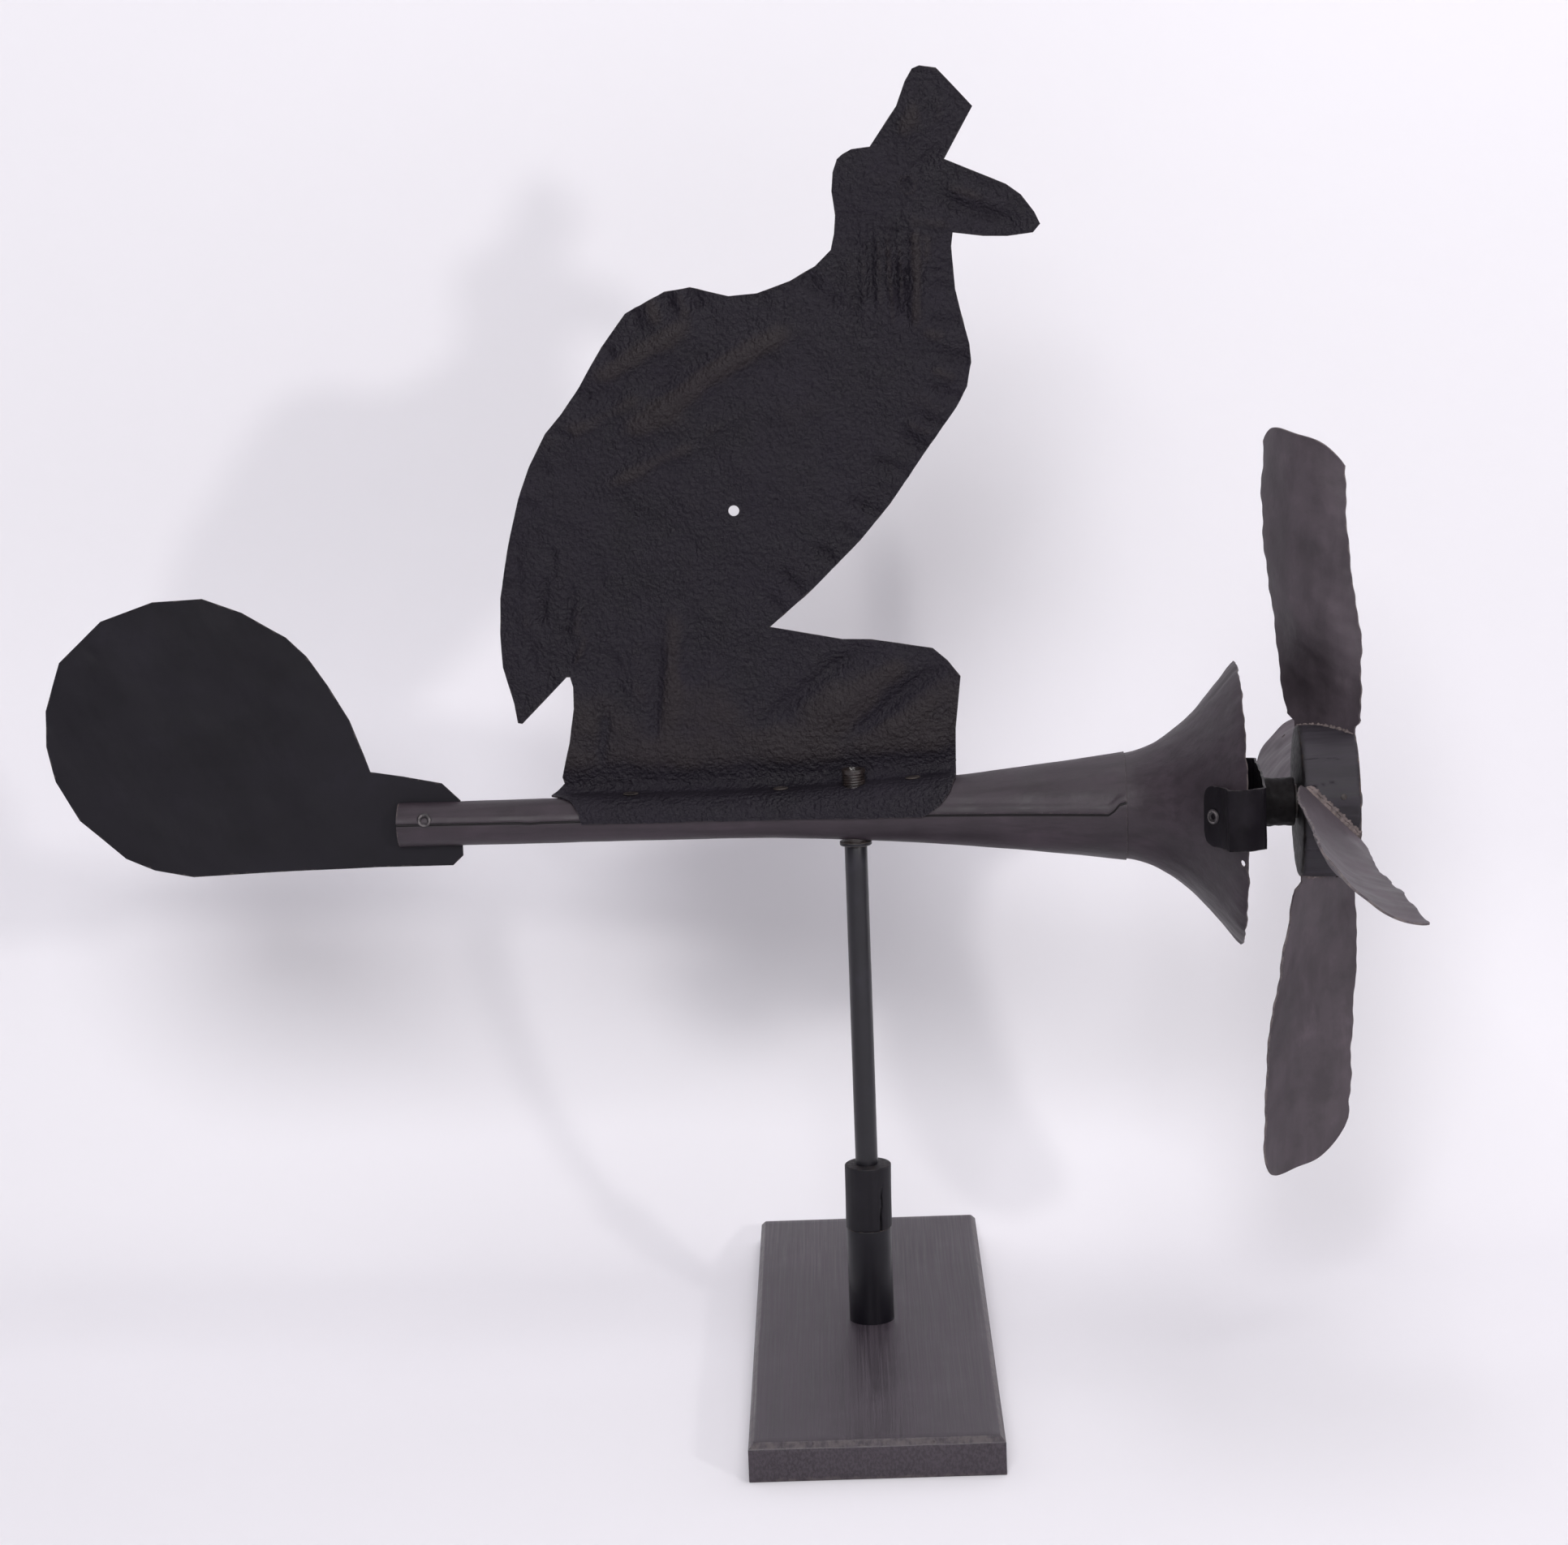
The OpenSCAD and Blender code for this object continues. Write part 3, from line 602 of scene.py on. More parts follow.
def bolt_material():
    return iron_paint("rusted_steel", colours().bolt, rough=0.5, light=2.6, patch=160.0, patchiness=0.8,
                      bare=(0.12, 0.10, 0.09), pebble=900.0, depth=0.0002)


def rivet_material():
    return iron_paint("rivet_iron", colours().rivet, rough=0.45, light=2.4, patch=260.0, patchiness=0.7,
                      bare=(0.22, 0.2, 0.2), worn=0.7, pebble=900.0, depth=0.0001)


# ---------------------------------------------------------------- stand

def rounded_turn(low, high, radius, soft, rings=14, tilt=(0, 0), columns=96, hole=0.0):
    """A turned upright solid with softened rims, as (verts, faces, wear)."""
    steps = [(low, hole), (low, radius - soft)]
    steps += [(low + soft * (1 - math.cos(a)), radius - soft * (1 - math.sin(a)))
              for a in np.linspace(math.pi / 8, math.pi / 2, 4)]
    steps += [(x, radius) for x in np.linspace(low + soft, high - soft, rings)[1:-1]]
    steps += [(high - soft * (1 - math.cos(a)), radius - soft * (1 - math.sin(a)))
              for a in np.linspace(math.pi / 2, math.pi / 8, 4)]
    steps += [(high, radius - soft), (high, hole)]
    verts, faces = turned(steps, columns, closed=hole > 0)
    wear = np.repeat([float(abs(x - low) < soft or abs(x - high) < soft) for x, _ in steps], columns)
    verts = upright(verts)
    rise = (verts[:, 2] - low) / (high - low)
    verts[:, 0] += tilt[0] * rise
    verts[:, 1] += tilt[1] * rise
    return verts, faces, wear


class WHIRLIGIG_OT_base_board(bpy.types.Operator):
    """Makes the chamfered base board, with its paint rubbed and nicked along the edges"""

    bl_idname = "whirligig.base_board"
    bl_label = "Base Board"

    def execute(self, context):
        lo, hi = BOARD
        chamfer = sizes().board_chamfer / MM
        height = hi[2] - lo[2]
        levels = [(30, 0), (6, 0), (0.7, 0), (0.15, 0.2), (0, 0.8), (0, 6), (0, 12),
                  (0, height - chamfer - 0.5),
                  (0.2, height - chamfer - 0.05), (0.6, height - chamfer + 0.4),
                  (chamfer - 0.6, height - 0.55),
                  (chamfer - 0.1, height - 0.15), (chamfer + 0.5, height), (chamfer + 6, height),
                  (30, height), (55, height)]
        rings = []
        for inset, z in levels:
            w, d = (hi[0] - lo[0]) / 2 - inset, (hi[1] - lo[1]) / 2 - inset
            across, along = 38, 106
            side = [(-w + 2 * w * t, -d) for t in np.linspace(0, 1, across, endpoint=False)]
            side += [(w, -d + 2 * d * t) for t in np.linspace(0, 1, along, endpoint=False)]
            side += [(w - 2 * w * t, d) for t in np.linspace(0, 1, across, endpoint=False)]
            side += [(-w, d - 2 * d * t) for t in np.linspace(0, 1, along, endpoint=False)]
            rings.append(np.array([(x, y, z) for x, y in side]))
        count = len(rings[0])
        verts = np.concatenate(rings)
        level = np.repeat(np.arange(len(levels)), count)
        edge = np.isin(level, [8, 9, 10, 11])
        nick = np.clip(ripple(verts, 19, 1.0) - 0.8, 0, 0.5) * 0.35
        nick += np.clip(ripple(verts, 61, 5.0) - 0.9, 0, 0.5) * 0.2
        verts[:, 2] -= np.where(edge, nick, 0)
        faces = grid_faces(len(levels), count, wrap=True)
        faces.append(tuple(reversed(range(count))))
        faces.append(tuple(range(len(verts) - count, len(verts))))
        wear = np.isin(level, [3, 4, 8, 9, 10, 11]) * 1.0
        paint = old_wood("board_paint", colours().board, (800.0, 9.0, 500.0), (0.10, 0.085, 0.085),
                         rough=0.42,
                         worn=0.6, scuffs=0.3)
        make_piece("base_board_painted", (verts, faces, wear), STAND, paint, ["base_board"], "stand",
                   smooth=25)
        return {"FINISHED"}


class WHIRLIGIG_OT_post(bpy.types.Operator):
    """Makes the lower post, the wooden sleeve on it with its drying crack, and the spindle rod"""

    bl_idname = "whirligig.post"
    bl_label = "Post, Sleeve and Rod"

    def execute(self, context):
        paint = iron_paint("post_paint", colours().post, rough=0.36, specular=0.3, light=2.0, patch=30.0,
                           patchiness=0.3,
                           specks=0.1, pebble=260.0, pebbles=0.3, dents=0.3, depth=0.0001)
        post = rounded_turn(POST[0][2], POST[1][2], POST[1][0], 0.5)
        make_piece("lower_post_painted", post, STAND, paint, ["lower_post"], "stand")

        radius = SLEEVE[1][0]
        verts, faces, wear = rounded_turn(SLEEVE[0][2], SLEEVE[1][2], radius, 0.7, rings=26, tilt=(0.6, -0.3),
                                          columns=240)
        angle = np.arctan2(verts[:, 1], verts[:, 0])
        bend = -1.02 + 0.004 * (verts[:, 2] - SLEEVE[0][2]) + 0.02 * np.sin(verts[:, 2] * 0.5)
        wide = 0.65 - 0.014 * (verts[:, 2] - SLEEVE[0][2])
        deep = np.clip(1.4 - np.abs(angle - bend) * radius / wide, 0, 1)
        deep *= ease((SLEEVE[0][2] + 28 - verts[:, 2]) / 6)
        scale = 1 - deep * 1.3 / radius + 0.004 * ripple(verts * (1, 1, 0.3), 19, 2.0)
        verts[:, 0] *= scale
        verts[:, 1] *= scale
        wood = old_wood("sleeve_wood", colours().sleeve, (320.0, 320.0, 14.0), (0.05, 0.04, 0.036), rough=0.5,
                        specular=0.22, worn=0.25, scuffs=0.12, depth=0.0003)
        # The crack is darkened with painted shade, as deep as it is cut
        make_piece("upper_sleeve_wood", (verts, faces, wear), STAND, wood, ["upper_sleeve"], "stand",
                   smooth=40,
                   attributes=[("painted_shade", deep)])

        rod_r, top = ROD[1][0], ROD[1][2]
        shoulder, spigot_r = BUSH[0][2], 4.0
        profile = [(ROD[0][2], 0.01), (ROD[0][2], rod_r)]
        profile += [(z, rod_r) for z in np.linspace(ROD[0][2], shoulder - 0.6, 30)[1:]]
        profile += [(shoulder - 0.15, rod_r - 0.2), (shoulder, rod_r - 0.6), (shoulder, spigot_r),
                    (top - 0.5, spigot_r), (top, spigot_r - 0.5), (top, 0.01)]
        verts, faces = turned(profile, 72)
        steel = iron_paint("rod_steel", [c * 1.1 for c in colours().post], rough=0.36, light=2.6, patch=55.0,
                           patchiness=0.5, specks=0.25, pebble=300.0, pebbles=0.35, dents=0.4, depth=0.0001,
                           specular=0.5)
        make_piece("spindle_rod_turned", (upright(verts), faces, np.zeros(len(verts))), STAND, steel,
                   ["spindle_rod"], "stand")
        return {"FINISHED"}


class WHIRLIGIG_OT_underside(bpy.types.Operator):
    """Gives the plug, washer and screw under the board their finish"""

    bl_idname = "whirligig.underside"
    bl_label = "Underside Hardware"

    def execute(self, context):
        zinc, tree, shader = finish_material("dull_zinc", 0.4, metal=1.0)
        skin = effect(tree, "Mottle", Colour=(0.45, 0.45, 0.46, 1), Dark=(0.2, 0.2, 0.2, 1),
                      Light=(0.6, 0.6, 0.6, 1), Patch_Size=300.0, Patchiness=0.6, Specks=0.2)
        tree.links.new(skin.outputs["Colour"], shader.inputs["Base Color"])
        roughen(tree, shader, skin.outputs["Patches"], 0.3, 0.55)
        plug = old_wood("plug_wood", colours().board, (260.0, 12.0, 260.0), (0.15, 0.12, 0.11))
        for node, material in (("base_plug", plug), ("base_washer", zinc), ("base_screw", zinc)):
            slots = frame["nodes"][node].data.materials
            slots.clear()
            slots.append(material)
        return {"FINISHED"}


# ---------------------------------------------------------------- pivot and horn

class WHIRLIGIG_OT_pivot(bpy.types.Operator):
    """Makes the brown threaded bush that stands through the horn, and the collar under it"""

    bl_idname = "whirligig.pivot"
    bl_label = "Pivot Bush and Collar"

    def execute(self, context):
        outer, low, high = BUSH[1][0], BUSH[0][2], BUSH[1][2]
        bore, pitch, depth, lip = 4.05, 1.5, 0.55, 2.0
        rows, cols = 260, 72
        levels = np.linspace(low, high, rows)
        turn = np.linspace(0, 2 * math.pi, cols, endpoint=False)
        z, a = np.meshgrid(levels, turn, indexing="ij")
        phase = (z / pitch - a / (2 * math.pi)) % 1
        cut = depth * (1 - np.abs(2 * phase - 1)) ** 0.8
        cut *= ease((z - (high - 11)) / 2) * ease((high - lip - z) / 0.6)
        r = outer - cut - 0.35 * ease((z - high + 0.5) / 0.5)
        outside = np.stack([(r * np.cos(a)), (r * np.sin(a)), z], axis=-1).reshape(-1, 3)
        inner_r = np.where(np.array([high, high - 2, low]) > high - 1, bore + 0.6, bore)
        inside = np.concatenate([np.stack([ri * np.cos(turn), ri * np.sin(turn), np.full(cols, zi)], axis=1)
                                 for ri, zi in zip(inner_r, (high - 0.1, high - 2, low))])
        verts = np.concatenate([outside, inside])
        faces = grid_faces(rows + 3, cols, wrap=True)
        last = (rows + 2) * cols
        faces += [(last + j, last + (j + 1) % cols, (j + 1) % cols, j) for j in range(cols)]
        wear = np.concatenate([(cut < 0.08).ravel() * 0.8, np.zeros(3 * cols)])
        rust = iron_paint("rusty_bush", colours().rust, rough=0.32, specular=0.6, light=2.4, patch=300.0,
                          patchiness=0.8, specks=0.4, bare=(0.07, 0.055, 0.052), worn=0.5, pebble=900.0,
                          depth=0.00015)
        make_piece("pivot_bush_threaded", (verts, faces, wear), STAND, rust, ["pivot_bush"], "head",
                   smooth=50)

        collar = rounded_turn(COLLAR[0][2], COLLAR[1][2], COLLAR[1][0], 0.5, rings=4, hole=outer + 0.05)
        steel = iron_paint("collar_steel", colours().post, rough=0.4, patch=120.0, depth=0.0001)
        make_piece("bush_collar_turned", collar, STAND, steel, ["bush_collar"], "head")
        return {"FINISHED"}


def horn_radius(x):
    """Outer radius of the horn's tube at a distance along its axis."""
    small, large = sizes().small_end / MM, sizes().joint_radius / MM
    return small + (large - small) * (np.maximum(0, np.asarray(x, float) + 80) / (TUBE[1][0] + 80)) ** 1.8


def horn_paint():
    return iron_paint("horn_paint", colours().horn, rough=0.5, light=1.9, patch=34.0, patchiness=0.45,
                      specks=0.2, bare=(0.17, 0.14, 0.125), worn=0.4, pebble=300.0, pebbles=0.6, dents=0.8,
                      depth=0.00022, strokes=(10.0, 160.0, 160.0))


class WHIRLIGIG_OT_horn_tube(bpy.types.Operator):
    """Makes the horn's tube with its folded lock seam and the slit that holds the tail vane"""

    bl_idname = "whirligig.horn_tube"
    bl_label = "Horn Tube"

    def execute(self, context):
        start, end = TUBE[0][0], TUBE[1][0]
        slit_end, slit_half = -220.5, 0.45
        xs = np.unique(np.concatenate([np.arange(start, end, 3.0), [slit_end, start, end - 0.6, end]]))
        r = horn_radius(xs)
        # Distances round the tube from the seam's line, upwards, and how far the sheet stands up there; then
        # a painted shade line just under the lip, and a painted highlight along the fold's edge that goes in
        # through the wear value
        across = np.array([-9, -6, -3.5, -1.9, -1.2, -0.8, -0.1, 0.05, 0.5, 1.4, 2.8, 4.2, 5.2, 6.6, 9])
        lift = np.array([0, 0, 0, 0, -0.12, -0.65, -0.7, 0.8, 1.0, 0.95, 0.82, 0.62, 0.18, 0.02, 0])
        painted_shade = np.array([0, 0, 0, 0.1, 0.6, 1, 1, 0.5, 0, 0, 0, 0, 0, 0, 0])
        rubbed = np.array([0, 0, 0, 0, 0, 0, 0, 0.5, 0.75, 0.45, 0, 0, 0, 0, 0])
        lip = sizes().seam_lip / MM
        rise = (xs - start) / (end - start)
        line = np.radians(180 - (11 - 9 * rise)) - (6.5 * ease((xs - end + 10) / 8)
                                                   - 0.5 * np.exp(-((xs + 181) / 4) ** 2)) / r
        gap = slit_half / r[0]
        rest = 84
        verts = []
        for x, radius, seam in zip(xs, r, line):
            near = seam - across / radius
            sweep = np.linspace(near[0], near[-1] + 2 * math.pi, rest + 2)[1:-1]
            # Columns beside the slit go exactly to its edges, top and bottom
            for middle in (math.pi * 1.5, math.pi * 2.5):
                k = np.argmin(np.abs(sweep - middle))
                k -= sweep[k] > middle
                sweep[k], sweep[k + 1] = middle - gap, middle + gap
            angles = np.concatenate([near[::-1], sweep])
            rad = radius + np.concatenate([lift[::-1] * lip, np.zeros(rest)])
            verts.append(np.stack([np.full(len(rad), x), rad * np.cos(angles), rad * np.sin(angles)], axis=1))
        cols = len(across) + rest
        verts = np.concatenate(verts)
        dent = 0.10 * ripple(verts, 57, 3.0) + 0.05 * ripple(verts, 23, 6.0)
        away = verts[:, 1:] / np.linalg.norm(verts[:, 1:], axis=1)[:, None]
        verts[:, 1:] += away * (dent * ease((verts[:, 0] - start) / 30))[:, None]
        faces = []
        for face in grid_faces(len(xs), cols, wrap=True):
            ring = verts[list(face)]
            in_slit = ring[:, 0].max() <= slit_end + 0.01 and np.abs(ring[:, 1]).max() < slit_half * 1.25
            hole = np.hypot(ring[:, 0].mean(), ring[:, 1].mean()) < 5.2
            if not in_slit and not hole:
                faces.append(face)
        sheet = sizes().horn_sheet / MM
        faces = outward(verts, faces)
        verts, faces, wear = thicken(verts, faces, 0, sheet)
        # Painted shade: a dark line along the seam, under its lip
        shade_mask = np.tile(np.concatenate([painted_shade[::-1], np.zeros(rest)]), len(xs))
        # Painted highlight: the seam's folded edge is lightened along with the worn edges of the sheet
        wear = np.maximum(wear, np.tile(np.concatenate([rubbed[::-1], np.zeros(rest)]), 2 * len(xs)))
        make_piece("horn_tube_seamed", (verts, faces, wear), HEAD, horn_paint(), ["horn_tube"], "head",
                   smooth=38, attributes=[("painted_shade", np.concatenate([shade_mask, shade_mask]))])
        return {"FINISHED"}


def outward(verts, faces):
    """Turns the faces of a surface round the x axis so that they face away from it."""
    first = verts[list(faces[0])]
    normal = np.cross(first[1] - first[0], first[2] - first[0])
    middle = first.mean(0) * (0, 1, 1)
    return faces if normal @ middle > 0 else [tuple(reversed(f)) for f in faces]


def bell_profile():
    """Outer profile of the bell, from inside the tube's end to the rim, as (x, radius)."""
    joint, rim = TUBE[1][0], BELL[1][0]
    neck = sizes().joint_radius / MM - sizes().horn_sheet / MM - 0.1
    edge = sizes().rim_radius / MM
    a, b, c, d = (np.array(p) for p in ((joint, neck), (183, 34), (203, edge - 7.5), (rim, edge)))
    t = np.linspace(0, 1, 90)[:, None]
    curve = (1 - t) ** 3 * a + 3 * (1 - t) ** 2 * t * b + 3 * (1 - t) * t * t * c + t ** 3 * d
    lap = [(x, float(horn_radius(x)) - sizes().horn_sheet / MM - 0.1) for x in (joint - 5, joint - 2.5)]
    return even_path(np.vstack([lap, curve]), 1.9)


class WHIRLIGIG_OT_horn_bell(bpy.types.Operator):
    """Makes the horn's bell, with its snipped rim, the crease near the top and a small hole"""

    bl_idname = "whirligig.horn_bell"
    bl_label = "Horn Bell"

    def execute(self, context):
        profile = bell_profile()
        cols = 224
        verts, faces = turned(profile, cols)
        run = np.repeat(np.linspace(0, 1, len(profile)), cols)
        angle = np.arctan2(verts[:, 2], verts[:, 1])
        away = verts[:, 1:] / np.linalg.norm(verts[:, 1:], axis=1)[:, None]
        near_rim = ease((run - 0.8) / 0.2)
        snips = 0.55 * np.sin(angle * 17 + 1) + 0.5 * np.sin(angle * 31 + 2) + 0.35 * np.sin(angle * 53)
        verts[:, 0] -= near_rim * (0.55 + 0.45 * snips)
        hammered = 0.16 * ripple(verts, 26, 4.0) + 0.08 * ripple(verts, 11, 8.0)
        crease = -0.9 * np.exp(-((angle - 1.73) * 70 / 2.2) ** 2) * ease((run - 0.62) / 0.2)
        verts[:, 1:] += away * ((hammered * ease(run * 5 - 0.6) + crease))[:, None]
        faces = outward(verts, faces)
        # The small hole near the rim, just under the strap
        verts, faces = punch(verts, faces, (BELL[1][0] - 2.8, -math.cos(0.25) * 76, -math.sin(0.25) * 76),
                             1.9)
        shell = thicken(verts, faces, 0, sizes().horn_sheet / MM)
        chip = np.linalg.norm((shell[0] - (176, -33, -17)) * (0.6, 1, 1.3), axis=1)
        make_piece("horn_bell_flared", shell, HEAD, horn_paint(), ["horn_bell"], "head", smooth=40,
                   attributes=[("fleck", np.clip(1.9 - chip / 1.4, 0, 1))])
        return {"FINISHED"}


class WHIRLIGIG_OT_strap(bpy.types.Operator):
    """Makes the bent strap across the bell's mouth that carries the axle"""

    bl_idname = "whirligig.strap"
    bl_label = "Strap"

    def execute(self, context):
        def bend(x, side):
            turn = [math.radians(a) for a in range(120, -1, -10)]
            return [(x + 13 * math.cos(a), side * (68 + 13 * math.sin(a))) for a in turn]

        # It was bent by eye, so the near bend sits further back than the far one
        near = [(190.4, -54.7), (197.4, -62.2), (200.8, -70.5)] + bend(208.7, -1)
        far = [(190.4, 54.7), (197.4, 62.2), (204, 71.5)] + bend(214.5, 1)
        path = even_path(smooth_path(near + [(225.6, 0)] + far[::-1], 5), 1.5)
        run = np.concatenate([[0], np.cumsum(np.linalg.norm(np.diff(path, axis=0), axis=1))])
        width, corner, cols = 33.0, 7.0, 15
        verts = []
        for (x, y), s in zip(path, run):
            from_end = min(s, run[-1] - s)
            narrow = corner - math.sqrt(max(0, corner ** 2 - max(0, corner - from_end) ** 2))
            for v in np.linspace(-1, 1, cols):
                verts.append((x, y, v * (width / 2 - narrow)))
        verts = np.array(verts)
        verts[:, 0] += 0.18 * ripple(verts, 31, 2.0)
        verts[:, 2] += 0.25 * ripple(verts * (1, 1, 0), 27, 5.0)
        roll = math.radians(-4)
        y, z = verts[:, 1].copy(), verts[:, 2].copy()
        verts[:, 1] = y * math.cos(roll) - z * math.sin(roll)
        verts[:, 2] = y * math.sin(roll) + z * math.cos(roll)
        faces = grid_faces(len(path), cols)
        thick = sizes().strap_sheet / MM / 2
        iron = iron_paint("strap_iron", colours().strap, rough=0.5, specular=0.1, light=1.8, patch=48.0,
                          patchiness=0.55,
                          specks=0.12, bare=(0.10, 0.09, 0.09), worn=0.4, pebble=350.0, pebbles=0.6,
                          dents=0.6,
                          depth=0.0002)
        make_piece("strap_bent", thicken(verts, faces, thick, thick), HEAD, iron, ["strap_bracket"], "head")
        return {"FINISHED"}


# ---------------------------------------------------------------- rivets

def ring_rivet(depth, head=4.1, hole=1.5, shank=2.4, high=0.85):
    """A hollow rivet along +z with a rolled lip above z = 0, as (verts, faces, wear)."""
    lip = [(0.0, head), (0.25, head + 0.05), (high * 0.75, head - 0.35), (high, head - 1.0),
           (high * 0.9, (head + hole) / 2 - 0.2), (high * 0.55, hole + 0.25), (0.0, hole), (-depth, hole),
           (-depth, shank), (0.0, shank)]
    verts, faces = turned(lip, 40, closed=True)
    wear = np.repeat([0, 0.3, 0.7, 1, 0.8, 0.3, 0, 0, 0, 0], 40).astype(float)
    return upright(verts), faces, wear


def flat_rivet(head=4.2):
    """A shallow flat rivet along +z, with a short shank, as (verts, faces, wear)."""
    lip = [(-4.0, 0.01), (-4.0, 2.4), (0.0, 2.4), (0.0, head), (0.35, head + 0.05), (0.75, head - 0.5),
           (0.9, head - 1.4), (0.92, 1.6), (0.82, 0.01)]
    verts, faces = turned(lip, 40)
    wear = np.repeat([0, 0, 0, 0.6, 1, 0.8, 0.3, 0, 0], 40).astype(float)
    return upright(verts), faces, wear


def placed(shell, at, along):
    """A shell made about +z, moved to a point and turned to a direction."""
    verts, faces, wear = shell
    turn = np.array(Vector(along).to_track_quat("Z", "Y").to_matrix())
    return verts @ turn.T + np.array(at), faces, wear


class WHIRLIGIG_OT_rivets(bpy.types.Operator):
    """Makes the hollow rivets of the strap and tail, and the flat rivets of the bird's foot"""

    bl_idname = "whirligig.rivets"
    bl_label = "Rivets"

    def execute(self, context):
        roll = Matrix.Rotation(math.radians(-4), 3, "X")
        pairs = []
        for side in (-1, 1):
            out = Vector((-math.sin(math.radians(47)), side * math.cos(math.radians(47)), 0))
            at = Vector((195.3, side * 60, 0)) + out * 0.75
            pairs.append(placed(ring_rivet(2.6), roll @ at, roll @ out))
            pairs.append(placed(ring_rivet(0.3, head=3.6), roll @ (at - out * 2.85), -(roll @ out)))
        make_piece("strap_rivets_hollow", join(*pairs), HEAD, rivet_material(), ["strap_rivets"], "head",
                   smooth=50)

        top = []
        for x in (-125, -41, 33):
            slope = (float(horn_radius(x + 4)) - float(horn_radius(x - 4))) / 8
            up = Vector((-slope, 0, 1)).normalized()
            top.append(placed(flat_rivet(), (x, 1, float(horn_radius(x)) + 1.3), up))
        make_piece("flange_rivets_flat", join(*top), HEAD, bolt_material(), ["flange_rivets"], "head",
                   smooth=50)

        small = sizes().small_end / MM
        tail = join(placed(ring_rivet(12), (-240, -small + 0.05, 4.5), (0, -1, 0)),
                    placed(ring_rivet(12), (-240, small - 0.05, 4.5), (0, 1, 0)))
        make_piece("tail_rivet_hollow", tail, HEAD, rivet_material(), ["tail_rivet"], "head", smooth=50)
        return {"FINISHED"}


# ---------------------------------------------------------------- bird and tail vane

# The bird's outline, as x along the horn and height above its axis, in the straight cuts of a pair of snips
BIRD_LAP = [(57, 26), (57.5, 45), (61, 74), (54, 83), (46, 90), (12, 96), (-4, 96.5), (-44, 104.5)]
BIRD_BREAST = [(-20, 124.5), (8, 151.5), (25, 171), (44, 197.5), (63, 223), (69, 234), (71.5, 247),
               (71, 257), (68, 269), (64, 287), (62.5, 310)]
BIRD_BEAK = [(63.5, 317.5), (80, 315), (93, 314.5), (107, 316), (111, 320.5), (108, 327), (101, 336.5),
             (93, 342.5), (60, 357)]
BIRD_HAT = [(76, 384.5), (63, 399), (57, 405.5), (48, 407), (44, 405.5), (40, 399), (35, 386), (20, 365)]
BIRD_NAPE = [(10, 364), (5, 361.5), (2, 359), (-0.5, 352), (-1.5, 342), (0, 329), (-1, 319), (-3, 310.5),
             (-12, 302), (-26, 294.5), (-44, 288.5), (-60, 287.5), (-81, 293)]
BIRD_BACK = [(-95, 291), (-117, 280), (-131, 262), (-144, 241), (-155, 226), (-164, 216), (-174, 198),
             (-181, 180), (-188, 155), (-194, 125), (-195, 105), (-194.5, 86), (-189, 65), (-187.5, 54.5),
             (-185, 54)]
BIRD_RUMP = [(-159, 79.5), (-157, 79.5), (-155.5, 74), (-155.5, 62), (-159, 42), (-164, 23)]

# Strokes pressed into the sheet: width, height towards the front, then the path
WING_STROKES = [
    (5.5, 1.9, (-78, 277), (-100, 263), (-122, 251), (-142, 242)),
    (6.5, 2.2, (-24, 268), (-48, 258), (-70, 246), (-95, 229), (-120, 214), (-134, 206)),
    (4.5, 1.3, (-108, 236), (-125, 227), (-140, 220), (-158, 214)),
    (4.0, 1.3, (-80, 207), (-100, 200), (-120, 191), (-138, 184)),
    (3.5, 0.8, (-44, 229), (-60, 221), (-82, 208)),
    (5.0, -0.9, (-60, 262), (-85, 250), (-112, 238)),
]
EDGE_STROKES = [
    (3.0, -1.4, (-112, 283), (-110, 270)), (3.2, -1.5, (-95, 292), (-89, 278)),
    (3.0, -1.6, (-81, 294), (-74, 279)), (2.6, -1.3, (-132, 262), (-122, 257)),
    (2.6, -1.3, (-148, 238), (-136, 234)), (2.6, -1.2, (-160, 217), (-148, 213)),
    (2.6, -1.2, (-172, 199), (-161, 194)), (2.6, -1.2, (-182, 180), (-170, 174)),
    (2.6, -1.2, (-189, 156), (-177, 150)), (2.4, -0.9, (-193, 134), (-181, 129)),
    (2.2, -1.2, (-43, 290), (-37, 277)), (4.0, -1.6, (-17, 298), (-11, 286)),
    (3.4, -1.2, (-4, 288), (-2, 277)),
    (4.2, 1.3, (-103, 288), (-99, 272)), (4.0, 1.2, (-88, 290), (-82, 276)),
]
BREAST_STROKES = [
    (2.4, -1.0, (66, 286), (50, 289)), (2.6, -1.1, (68, 268), (48, 271)), (3.2, -1.7, (71, 247), (50, 254)),
    (3.0, -1.3, (66, 227), (46, 235)), (2.8, -1.3, (58, 212), (40, 219)), (2.6, -1.8, (48, 199), (31, 210)),
    (3.4, -1.5, (37, 187), (14, 196)), (3.0, -1.8, (21, 164), (2, 174)), (2.4, -1.2, (9, 151), (-4, 160)),
    (2.6, -1.4, (-6, 139), (-19, 150)), (2.6, -1.6, (-24, 121), (-38, 137)),
    (2.6, -1.3, (-36, 111), (-46, 124)),
    (3.2, 1.0, (58, 262), (44, 264)), (3.0, 1.1, (64, 238), (48, 245)), (2.6, 1.1, (50, 208), (34, 216)),
]
